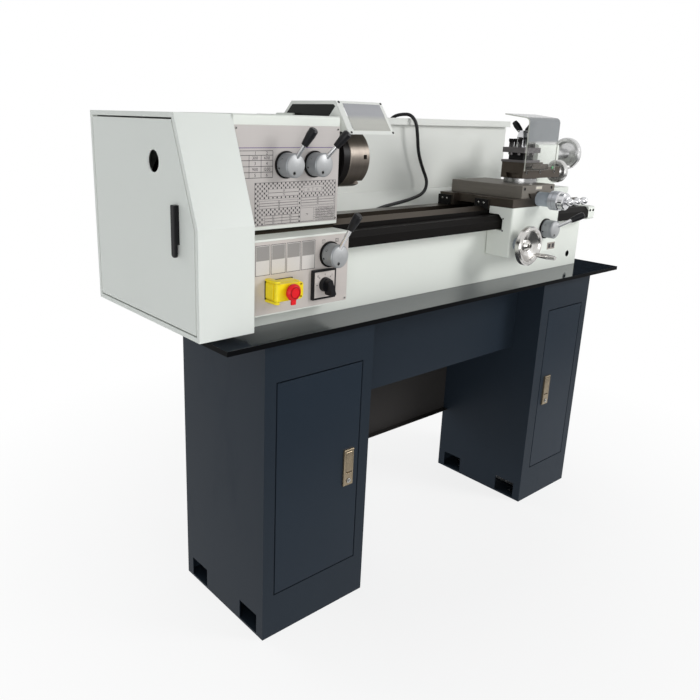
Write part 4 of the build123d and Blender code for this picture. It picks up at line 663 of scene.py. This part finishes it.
def flat_face(shape, corners, index=0):
    """One face through points in metres."""
    shape.faces.new([shape.verts.new(corner) for corner in corners]).material_index = index


def revolve(shape, where, outline, steps=24, index=0):
    """Turn an outline of (radius, height) points in mm about a seat's Z."""
    rows = []
    for radius, height in outline:
        if not radius:
            rows.append([shape.verts.new(where @ mm(0, 0, height))])
            continue
        row = []
        for step in range(steps):
            turn = 2 * math.pi * step / steps
            row.append(shape.verts.new(where @ mm(radius * math.cos(turn), radius * math.sin(turn), height)))
        rows.append(row)
    for low, high in zip(rows, rows[1:]):
        for step in range(steps):
            after = (step + 1) % steps
            corners = [low[step % len(low)], low[after % len(low)], high[after % len(high)], high[step % len(high)]]
            corners = list(dict.fromkeys(corners))
            if len(corners) > 2:
                shape.faces.new(corners).material_index = index


def cap_screw(shape, place, direction, radius, height):
    """A socket-head screw with a chamfered rim and a six-sided recess."""
    where = seat(place, direction)
    key = radius * 0.55
    brim, bottom = key * 1.12, height * 0.35
    revolve(shape, where, [(radius, 0), (radius, height - 0.4), (radius - 0.5, height), (brim, height)], 24)
    revolve(shape, where, [(brim, height), (key, height - 0.3), (key, bottom), (0, bottom)], 6, 1)


def cross_screw(shape, place, direction, radius, index=0, dark=1):
    """A low domed screw with a cross recess."""
    where = seat(place, direction)
    dome = [(radius, 0), (radius, 0.5), (radius * 0.8, 1.2), (radius * 0.45, 1.6), (0, 1.7)]
    revolve(shape, where, dome, 20, index)
    half, wide, height = radius * 0.55, radius * 0.12, 1.78
    for turn in (0.4, 0.4 + math.pi / 2):
        arm = where @ Matrix.Rotation(turn, 4, "Z")
        flat_face(shape, [arm @ mm(sx * half, sy * wide, height) for sx, sy in square], dark)


def hex_bolt(shape, place, direction, across, height):
    """A six-sided head on its washer."""
    where = seat(place, direction)
    radius = across / math.sqrt(3)
    washer, thick = radius * 1.25, 1.2
    revolve(shape, where, [(washer, 0), (washer, thick), (radius * 0.9, thick)], 24)
    revolve(shape, where, [(radius, thick), (radius, height - 0.8), (radius * 0.88, height), (0, height)], 6)


def grub(shape, place, direction, radius, index=0, dark=1):
    """A flush set screw: a thin bright lip round a dark six-sided socket."""
    where = seat(place, direction)
    lip = radius * 0.78
    revolve(shape, where, [(radius, 0), (radius, 0.25), (lip, 0.3)], 20, index)
    revolve(shape, where, [(lip, 0.3), (radius * 0.7, 0.12), (0, 0.1)], 6, dark)


def corner_ring(shape, where, half_x, half_y, height):
    """Four corner points round a seat's Z."""
    return [shape.verts.new(where @ mm(sx * half_x, sy * half_y, height)) for sx, sy in square]


def walls(shape, low, high, index=0):
    """Faces between two rings of four points."""
    for step in range(4):
        after = (step + 1) % 4
        shape.faces.new((low[step], low[after], high[after], high[step])).material_index = index


def bar(shape, where, size, index=0, round_by=0.4):
    """A block with broken edges, centred on a seat and standing on it."""
    x, y, z = size
    rows = [
        corner_ring(shape, where, x / 2 - less, y / 2 - less, height)
        for height, less in ((0, 0), (z - round_by, 0), (z, round_by))
    ]
    for low, high in zip(rows, rows[1:]):
        walls(shape, low, high, index)
    shape.faces.new(rows[-1]).material_index = index
    shape.faces.new(rows[0][::-1]).material_index = index


def cup(shape, where, size, wall):
    """A shallow pressed cup, open along a seat's Z."""
    x, y, z = size
    rim, foot, well, lip = (
        corner_ring(shape, where, x / 2 - inset, y / 2 - inset, height)
        for inset, height in ((0, z), (0, 0), (wall, wall), (wall, z))
    )
    for low, high in ((foot, rim), (lip, well), (rim, lip)):
        walls(shape, low, high)
    shape.faces.new(foot[::-1])
    shape.faces.new(well)


def slab(shape, x, path, index=0):
    """A flat sheet square to X with an outline of (y, z) points."""
    sides = [[shape.verts.new(mm(at, y, z)) for y, z in path] for at in x]
    shape.faces.new(sides[0]).material_index = index
    shape.faces.new(sides[1][::-1]).material_index = index
    for step in range(len(path)):
        before = step - 1
        corners = (sides[0][step], sides[0][before], sides[1][before], sides[1][step])
        shape.faces.new(corners).material_index = index


# Printed lines and figures on the plates
def lifted(plane, rise):
    """A plane moved to the front, in mm."""
    return Matrix.Translation(mm(0, -rise, 0)) @ plane


def strip(shape, where, x, y, index=0):
    """A thin printed rectangle from x[0], y[0] to x[1], y[1] in a seat's plane, in mm."""
    corners = ((x[0], y[0]), (x[1], y[0]), (x[1], y[1]), (x[0], y[1]))
    flat_face(shape, [where @ mm(a, b, 0) for a, b in corners], index)


def frame_lines(shape, where, x, y, wide):
    """Four printed lines just inside a rectangle."""
    strip(shape, where, (x[0], x[1]), (y[0], y[0] + wide))
    strip(shape, where, (x[0], x[1]), (y[1] - wide, y[1]))
    strip(shape, where, (x[0], x[0] + wide), (y[0] + wide, y[1] - wide))
    strip(shape, where, (x[1] - wide, x[1]), (y[0] + wide, y[1] - wide))


def dot(shape, where, x, y, radius, sides=10):
    """A printed dot."""
    turns = [2 * math.pi * side / sides for side in range(sides)]
    flat_face(shape, [where @ mm(x + radius * math.cos(turn), y + radius * math.sin(turn), 0) for turn in turns])


def figure_shapes():
    """The points, faces and width of each figure, made once from the built-in letters."""
    shapes = {}
    for sign in "0123456789":
        letters = bpy.data.curves.new("figure", "FONT")
        letters.body = sign
        letters.size = 1
        letters.resolution_u = 2
        holder = bpy.data.objects.new("figure", letters)
        mesh = bpy.data.meshes.new_from_object(holder)
        wide = max(v.co.x for v in mesh.vertices)
        shapes[sign] = ([v.co.copy() for v in mesh.vertices], [tuple(p.vertices) for p in mesh.polygons], wide)
        bpy.data.objects.remove(holder)
        bpy.data.curves.remove(letters)
        bpy.data.meshes.remove(mesh)
    return shapes


figures = figure_shapes()
figure_height = 0.7
figure_gap = 0.07


def number(shape, where, text, x, y, size, index=0):
    """A number centred at x, y in a seat's plane; size is its height in mm."""
    scale = size / figure_height
    wide = sum((figures[sign][2] + figure_gap) * scale for sign in text)
    at = x - wide / 2
    for sign in text:
        points, faces, advance = figures[sign]
        made = [shape.verts.new(where @ mm(at + p.x * scale, y - size / 2 + p.y * scale, 0)) for p in points]
        for face in faces:
            shape.faces.new([made[i] for i in face]).material_index = index
        at += (advance + figure_gap) * scale


ahead_of_plates = 0.12
upper_plane = seat((0, upper_plate_y - ahead_of_plates, 0), to_front)
lower_plane = seat((0, lower_plate_y - ahead_of_plates, 0), to_front)


def speed_table(shape):
    """Ruled rows with two plain numbers each."""
    left, right_edge, rule = -604, -528.7, 0.5
    rows = (1026.5, 1018.3, 1009, 998, 987.3, 977)
    for z in rows:
        strip(shape, upper_plane, (left, right_edge), (z - rule, z + rule))
    for x in (-583.3, -555.9, right_edge):
        strip(shape, upper_plane, (x - rule, x + rule), (rows[-1], rows[0] if x == right_edge else rows[1]))
    speeds = (("1", "2"), ("300", "600"), ("3", "4"), ("900", "1200"), ("5", "6"))
    for high, low, row in zip(rows, rows[1:], speeds):
        for x, text in zip((-569.6, -542.3), row):
            number(shape, upper_plane, text, x, (high + low) / 2, 6)


def feed_table(shape):
    """Lines of dots, with boxes of plain numbers over them."""
    left, right_edge, low, high = -570.5, -367.3, 887, 967.9
    frame_lines(shape, upper_plane, (left, right_edge), (low, high), 0.7)
    columns, lines = 40, 18
    step_x, step_z = (right_edge - left) / columns, (high - low) / lines
    rule, clear, dot_radius = 0.2, 1.5, 1.75
    # Each box: left, right, low and high edge, then its cells across and down
    boxes = (
        (-538.4, -463.4, 941, 955, 1, 2), (-450.8, -404.9, 946.5, 955.5, 2, 1), (-559.3, -466, 918.5, 933.4, 1, 3),
        (-457.7, -370.5, 920, 935.5, 1, 3), (-546.9, -463, 888, 904.8, 2, 3), (-459, -424.4, 888.5, 915.3, 1, 1),
        (-420, -369, 888.5, 915.3, 6, 5),
    )

    def boxed(x, z):
        return any(x0 - clear < x < x1 + clear and z0 - clear < z < z1 + clear for x0, x1, z0, z1, _, _ in boxes)

    for line in range(lines):
        z = high - (line + 0.5) * step_z
        edge = high - line * step_z
        if line:
            strip(shape, upper_plane, (left, right_edge), (edge - rule, edge + rule))
        for column in range(line % 2, columns, 2):
            x = left + (column + 0.5) * step_x
            if not boxed(x, z):
                dot(shape, upper_plane, x, z, dot_radius)
    over, top = (lifted(upper_plane, rise) for rise in (0.05, 0.08))
    for x0, x1, z0, z1, across, down in boxes:
        strip(shape, over, (x0, x1), (z0, z1), 2)
        wide, tall = (x1 - x0) / across, (z1 - z0) / down
        for column in range(across):
            for row in range(down):
                x, z = x0 + column * wide, z0 + row * tall
                frame_lines(shape, top, (x, x + wide), (z, z + tall), 0.4)
                figure = str(10 + int(wide * (row + 2) + column * 9) % 90)
                number(shape, top, figure, x + wide / 2, z + tall / 2, min(3.8, tall * 0.7))


def upper_prints():
    """A coloured line, a speed table and a feed table."""
    shape = bmesh.new()
    strip(shape, upper_plane, (-612, -363), (1031.2, 1032.5), 1)
    speed_table(shape)
    feed_table(shape)
    piece("upper_plate_print", shape, (ink_dark, ink_violet, upper_plate), "frame")


def lower_prints():
    """Four plain panels and two position marks."""
    shape = bmesh.new()
    raised = lifted(lower_plane, 0.04)
    wide, pitch, low, high = 34, 36.5, 803, 860
    for index in range(4):
        x = -606 + index * pitch
        strip(shape, lower_plane, (x, x + wide), (low, high), 1)
        strip(shape, raised, (x + 2, x + wide - 2), (831, 858), 2)
        frame_lines(shape, raised, (x, x + wide), (low, high), 0.9)
    for text, x in (("1", -441), ("2", -405.7)):
        frame_lines(shape, lower_plane, (x - 4, x + 4), (851, 858), 0.8)
        number(shape, lower_plane, text, x, 854.4, 4.2)
    piece("lower_plate_print", shape, (ink_dark, ink_pale, ink_mid), "frame")


upper_prints()
lower_prints()

# Screws, marks and fittings
# The second finish of a screw colours its recess; near black there is painted shade
bright_screw = (bolt_bright, painted_shade_dark)
black_screw = (bolt_black, painted_shade_dark)


def screws(name, body, kind, direction, places, finish=bright_screw, slot="turned_steel", **sizes):
    """One piece holding every screw of a kind on one body."""
    shape = bmesh.new()
    for place in places:
        kind(shape, place, direction, **sizes)
    piece(name, shape, finish, body, True)


def lever_details():
    """A front disc, tinted lighter than the hub as a painted highlight, and set screws on each lever's hub."""
    thick = 0.9
    for name, (x, face_y, z, hub, _, _) in levers.items():
        front = face_y - hub_ring - hub
        shape = bmesh.new()
        revolve(shape, seat((x, front, z), to_front), [(21, 0), (21, 0.5), (20.2, thick), (0, thick)], 40)
        grub(shape, (x - 4, front - thick, z - 14), to_front, 3.4, 1, 2)
        for side, share, radius in (((-0.86, 0, 0.5), 0.66, 2.6), ((-0.97, 0, -0.25), 0.82, 2.2)):
            out = Vector(side) * (hub_radius - 0.1)
            grub(shape, (x + out.x, front + hub * share, z + out.z), side, radius, 1, 2)
        # The disc is lighter than the hub's sides: a painted highlight on the face turned to the front
        disc = hub_finish(name + "_disc", x, z, shade(174, 175, 176))
        # The set screws' sockets are near black: painted shade
        piece(name + "_cap", shape, (disc, bolt_bright, painted_shade_dark), name, True)


def plate_details():
    """Screws at the plates' corners, the switch's face with its marks, and the dot on its knob."""
    places = [(x, upper_plate_y, z) for x in (-612, -366) for z in (890, 1067)]
    places += [(x, lower_plate_y, z) for x in (-612, -379) for z in (732, 861)]
    screws("plate_screws", "frame", cross_screw, to_front, places, radius=2.4)
    shape = bmesh.new()
    where = seat((switch_x, -146.5, switch_z), to_front)
    over = lifted(where, 0.9)
    bar(shape, where, (52, 52, 0.8))
    for turn in range(-2, 3):
        arm = over @ Matrix.Rotation(-turn * math.pi / 4, 4, "Z")
        strip(shape, arm, (-0.6, 0.6), (18.5, 22), 1)
    for text, x in (("0", -18), ("1", 18)):
        number(shape, over, text, x, 18, 5, 1)
    piece("switch_face", shape, (lower_plate, ink_dark), "frame")
    shape = bmesh.new()
    revolve(shape, seat((-437.5, -168.55, 759.5), to_front), [(1.6, 0), (1.6, 0.15), (0, 0.15)], 16)
    piece("switch_dot", shape, ink_white, "switch_knob")


def stop_details():
    """Screws on the stop box's lid, a gasket behind the box, and a rim on the button."""
    middle_z = 774.75
    screws(
        "stop_screws", "estop_lid", cross_screw, to_front,
        # The cross recesses are near black: painted shade
        [(-525, -174.7, z) for z in (763, 787)], (stop_yellow, painted_shade_dark), "estop_yellow", radius=2.2,
    )
    shape = bmesh.new()
    bar(shape, seat((-551, lower_plate_y, middle_z), to_front), (66, 36.5, 1.5))
    piece("stop_gasket", shape, black_base, "frame")
    shape = bmesh.new()
    revolve(shape, seat((-549, -188.7, middle_z), to_front), [(11, 0), (11, 0.7), (9.6, 0.7), (9.6, 0)], 40)
    piece("stop_rim", shape, stop_red, "estop_button", True)


def hood_details():
    """Screws round the hood's window, its sheet of painted reflection and shade, and the end sheet whose dark pane is
    painted shade for the hood's unlit inside.
    """
    slope = Vector((0, 47, 65)).normalized()
    out = Vector((0, -65, 47)).normalized()
    start = Vector((0, -99, 1058))
    places = [Vector((x, 0, 0)) + start + slope * up for x in (-337.5, -216.5) for up in (4.5, 76.9)]
    screws("hood_screws", "chuck_guard", cross_screw, out, places, (bolt_black, bolt_bright), radius=2.6)
    shape = bmesh.new()
    middle = Vector((-275, 0, 0)) + start + slope * 41.5
    bar(shape, Matrix.Translation(mm(*middle)) @ axes(Vector(along_x), out), (107, 65, 0.8), 0, 0.3)
    piece("hood_window_sheet", shape, window_sheet, "chuck_guard")
    shape = bmesh.new()
    slab(shape, (-345.8, -345), ((-97.4, 1059.1), (-51.5, 1122.3), (91.6, 1122.3), (119.3, 1094.5)))
    slab(shape, (-346, -345.8), ((-17.1, 1074), (-52.9, 1111.8), (-47.9, 1116), (87.7, 1116), (110.4, 1094.9)), 1)
    piece("hood_end_sheet", shape, (white_guard, hood_end_painted_shade), "chuck_guard")


def carriage_screws():
    """Screws of the apron, the wipers and the slides."""
    screws(
        "apron_screws", "carriage", cap_screw, to_left,
        [(161, -132.6, 857.8), (161, -133.5, 827.4)], black_screw, radius=2.2, height=0.8,
    )
    screws(
        "wiper_screws", "carriage", cross_screw, to_left,
        [(154, y, 892.3) for y in (60, 46, -74, -58)], radius=2.8,
    )
    screws(
        "slide_screws", "cross_slide", grub, to_front,
        [(x, slide_front_y, 931) for x in (211, 331)], black_screw, radius=4.2,
    )
    screws(
        "gib_screws", "cross_slide", grub, along_x,
        [(345, y, 922) for y in (-120, -70, -20, 30)], radius=3.2,
    )
    screws(
        "compound_screws", "compound_slide", cap_screw, to_front,
        [(266, -116, 966.9), (327.6, -116, 967.5), (394, -116, 967.4)], radius=3.8, height=1.6,
    )


def wheel_bolts():
    """The bolts in the hubs of the three hand wheels."""
    for name, place, along, body, radius in (
        ("carriage_wheel_bolt", (wheel_x, -197, wheel_z), to_front, "carriage_handwheel", 5.5),
        ("compound_wheel_bolt", (465, compound_y, compound_z), along_x, "compound_handwheel", 4.5),
        ("tail_wheel_bolt", (634, spindle_y, spindle_z), along_x, "tailstock_handwheel", 5.5),
    ):
        screws(name, body, cap_screw, along, [place], slot="wheel_chrome", radius=radius, height=4)


def dial_marks():
    """Engraved lines round the cross feed's dial, each fifth one longer."""
    shape = bmesh.new()
    count, radius, middle_y, length, width = 50, 24.08, -205, 3.0, 0.5
    wide = width / 2 / radius
    for step in range(count):
        turn = 2 * math.pi * step / count
        half = (length if step % 5 else length * 1.7) / 2
        ends = [(turn + sx * wide, middle_y + sy * half) for sx, sy in square]
        flat_face(shape, [mm(feed_x + radius * math.cos(at), y, feed_z + radius * math.sin(at)) for at, y in ends])
    piece("cross_dial_marks", shape, ink_dark, "cross_feed_crank")


def swivel_marks():
    """Degree lines on the front of the compound's disc, each third one longer."""
    shape = bmesh.new()
    middle = Vector((swivel_x, compound_y, 951.98))
    outer = 41.6
    for step in range(-6, 7):
        turn = math.radians(step * 5 - 90)
        inner = 39.2 if step % 3 else 37.5
        out = Vector((math.cos(turn), math.sin(turn), 0))
        across = Vector((-out.y, out.x, 0)) * 0.22
        ends = ((inner, -1), (outer, -1), (outer, 1), (inner, 1))
        flat_face(shape, [mm(*(middle + out * radius + across * side)) for radius, side in ends])
    piece("swivel_marks", shape, ink_dark, "compound_base")


def carriage_details():
    """The compound's oiler, and small plates on the cross slide and the apron."""
    shape = bmesh.new()
    revolve(shape, seat((383.3, -116, 978.1), to_front), [(4.4, 0), (4.4, 0.9), (3, 1.7), (0, 1.9)], 20)
    piece("compound_oiler", shape, oiler_green, "compound_slide", True)
    inlay, inlay_round = 0.15, 0.05
    shape = bmesh.new()
    bar(shape, seat((feed_x, slide_front_y, 932.2), to_front), (30, 10, 0.6))
    bar(shape, seat((feed_x, slide_front_y - 0.6, 932.2), to_front), (25, 6.5, inlay), 1, inlay_round)
    piece("slide_plate", shape, (ink_mid, label_cream), "cross_slide")
    shape = bmesh.new()
    bar(shape, seat((352, -159, 776.5), to_front), (36, 18.5, 0.8))
    for x in (344, 360.5):
        bar(shape, seat((x, -159.8, 776.5), to_front), (11, 11, inlay), 1, inlay_round)
    piece("apron_plate", shape, (label_brown, ink_dark), "carriage")


def bed_details():
    """Bolts in the bed's front holes, the leadscrew guard's flange and the bracket's screws."""
    screws(
        "bed_bolts", "frame", hex_bolt, to_front,
        [(x, -72, bed_hole_z) for x in bed_hole_x], bolt_bright, across=13, height=7,
    )
    shape = bmesh.new()
    bar(shape, seat((106.5, -86, 868.2), to_front), (953, 12.6, 0.6), 0, 0.2)
    piece("guard_flange", shape, black_sheet, "frame")
    screws(
        "bracket_screws", "frame", cap_screw, to_front,
        [(x, -127.5, 853) for x in (591, 608)], black_screw, radius=3.4, height=1.5,
    )


def stand_details():
    """Locks on the door latches, and the cups behind their paddles."""
    for door, x in (("left_door", -362), ("right_door", 424)):
        shape = bmesh.new()
        # The cup behind each paddle is near black: painted shade
        cup(shape, seat((x, -147, 357), to_front), (22, 58, 6), 1.2)
        piece(door + "_latch_cup", shape, painted_shade_dark, door)
        shape = bmesh.new()
        revolve(shape, seat((x, -160, 312), to_front), [(6, 0), (6, 1.2), (5, 1.8), (0, 1.8)], 24)
        # The key slot is a near-black strip: painted shade
        strip(shape, seat((0, -161.9, 0), to_front), (x - 0.6, x + 0.6), (309, 315), 1)
        piece(door + "_lock", shape, (bolt_bright, painted_shade_dark), door, True)


def back_details():
    """Cooling fins on the motor, its terminal box's screws, and the electrics box's lid."""
    shape = bmesh.new()
    count, half_length = 28, 66
    middle = Vector((-511, 190, 830))
    for step in range(count):
        turn = 2 * math.pi * step / count
        out = Vector((0, math.cos(turn), math.sin(turn)))
        if out.z > 0.72 or out.y < -0.35:
            continue
        across = Vector((0, out.z, -out.y)) * 1.2
        foot, crest = (
            [
                shape.verts.new(mm(*(middle + Vector((end * half_length, 0, 0)) + out * radius + across * wide * side)))
                for end, side in square
            ]
            for radius, wide in ((65.8, 1.2), (69.9, 0.7))
        )
        walls(shape, foot, crest)
        shape.faces.new(crest)
        shape.faces.new(foot[::-1])
    piece("motor_fins", shape, motor_paint, "frame")
    screws(
        "terminal_screws", "frame", cross_screw, along_z,
        [(x, y, 922) for x in (-531, -475) for y in (162, 218)], radius=3,
    )
    shape = bmesh.new()
    bar(shape, seat((85, 254, 955), along_y), (170, 170, 1.6), 0, 1)
    for x in (8, 162):
        for z in (878, 1032):
            cross_screw(shape, (x, 255.6, z), along_y, 4, 1, 2)
    # The lid screws' cross recesses are near black: painted shade
    piece("electrics_lid", shape, (box_plastic, bolt_bright, painted_shade_dark), "frame", True)


def tail_details():
    """The tailstock's oiler, set screws and quill scale."""
    shape = bmesh.new()
    revolve(shape, seat((450, spindle_y, 1035), along_z), [(4, 0), (4, 2), (2.6, 3), (0, 3.2)], 20)
    piece("tail_oiler", shape, bolt_bright, "tailstock", True)
    screws("tail_screws", "tailstock", grub, to_front, [(x, -74, 897) for x in (444, 536)], radius=3.6)
    shape = bmesh.new()
    plane = seat((0, spindle_y, 1022.06), along_z)
    for step in range(9):
        x = 408 + step * 2
        strip(shape, plane, (x - 0.15, x + 0.15), (-2 if step % 5 else -3.4, 2))
    piece("quill_marks", shape, ink_dark, "quill")


lever_details()
plate_details()
stop_details()
hood_details()
carriage_screws()
carriage_details()
dial_marks()
swivel_marks()
wheel_bolts()
bed_details()
stand_details()
back_details()
tail_details()


# Light, floor and backdrop
def seen_rays(tree):
    """1 where the camera sees a surface straight, in a reflection or through a pane."""
    ray = tree.node("ShaderNodeLightPath", {}, out="Is_Camera_Ray")
    outputs = ray.socket.node.outputs
    glossy, through = (Value(tree, outputs[name]) for name in ("Is Glossy Ray", "Is Transmission Ray"))
    return ray.top(glossy).top(through)


def light_world():
    """A soft sky, dimmer overhead, that is seen as white."""
    world = bpy.data.worlds.new("studio")
    world.use_nodes = True
    scene.world = world
    tree = Tree(world.node_tree)
    seen = seen_rays(tree)
    sky = tree.node("ShaderNodeTexCoord", {}, out="Generated")
    height = tree.node("ShaderNodeSeparateXYZ", {}, sky, out=2).top(0.0)
    fill = 0.53 - height * 0.3
    back = world.node_tree.nodes["Background"]
    tree.give(back, "Color", tree.tone(seen, (0.94, 0.985, 1), (1, 1, 1)))
    tree.give(back, "Strength", fill + seen * (1 - fill))


def lay_floor():
    """White paper that is seen brighter away from the stand, and as it is lit under the two cabinets."""
    shape = bmesh.new()
    bmesh.ops.create_grid(shape, x_segments=1, y_segments=1, size=30)
    mesh = meshed("floor", shape)
    floor = placed("floor", mesh)
    paper = Finish("paper", Roughness=0.9, Base_Color=shade(244, 244, 244), Specular_IOR_Level=0.1)
    away = paper.ramp(paper.radius(mm(0, 0, 0), along_z) / 3.0, (0.12, 0.8), (0.5, 1))
    across, depth = paper.along(0), paper.along(1)
    under = (depth > -0.15) * (depth < 0.15)
    left_foot = (across > -0.588) * (across < -0.3055)
    right_foot = (across > 0.359) * (across < 0.588)
    bright = away * (1 - under * (left_foot + right_foot))
    plain = Value(paper, paper.shader.outputs[0])
    glow = paper.node("ShaderNodeEmission", {}, out="Emission", Color=(1, 1, 1), Strength=1.0)
    mixed = paper.node("ShaderNodeMixShader", {}, bright * seen_rays(paper), plain, glow)
    paper.give(paper.tree.nodes["Material Output"], "Surface", mixed)
    paper.material.cycles.emission_sampling = "NONE"
    mesh.materials.append(paper.material)


def stand_cards():
    """Dark cards that show only in reflections."""
    for name, corners in (
        ("dark_card", ((-1600, -3600, 4), (3200, -3600, 4), (3200, -700, 4), (-1600, -700, 4))),
        ("side_card", ((1600, 150, 600), (1600, 1300, 600), (1600, 1300, 1050), (1600, 150, 1050))),
    ):
        shape = bmesh.new()
        flat_face(shape, [mm(*corner) for corner in corners])
        mesh = meshed(name, shape)
        mesh.materials.append(painted_shade_dark.material)
        card = placed(name, mesh)
        card.visible_camera = card.visible_diffuse = card.visible_transmission = card.visible_shadow = False


def hang_lamps():
    """Round lamps that look at the machine; the one behind it stays out of reflections."""
    target = mm(0, 0, 800)
    for name, place, size, power in (
        ("key_light", (1900, -2600, 2200), 1.3, 56),
        ("front_light", (-2600, -2800, 450), 2.6, 54),
        ("back_light", (-950, 3000, 1300), 2.6, 44),
    ):
        lamp = bpy.data.lights.new(name, "AREA")
        lamp.shape = "DISK"
        lamp.size = size
        lamp.energy = power
        holder = placed(name, lamp)
        holder.location = mm(*place)
        holder.visible_glossy = place[1] < 0
        holder.rotation_euler = (target - mm(*place)).to_track_quat("-Z", "Y").to_euler()


light_world()
lay_floor()
stand_cards()
hang_lamps()
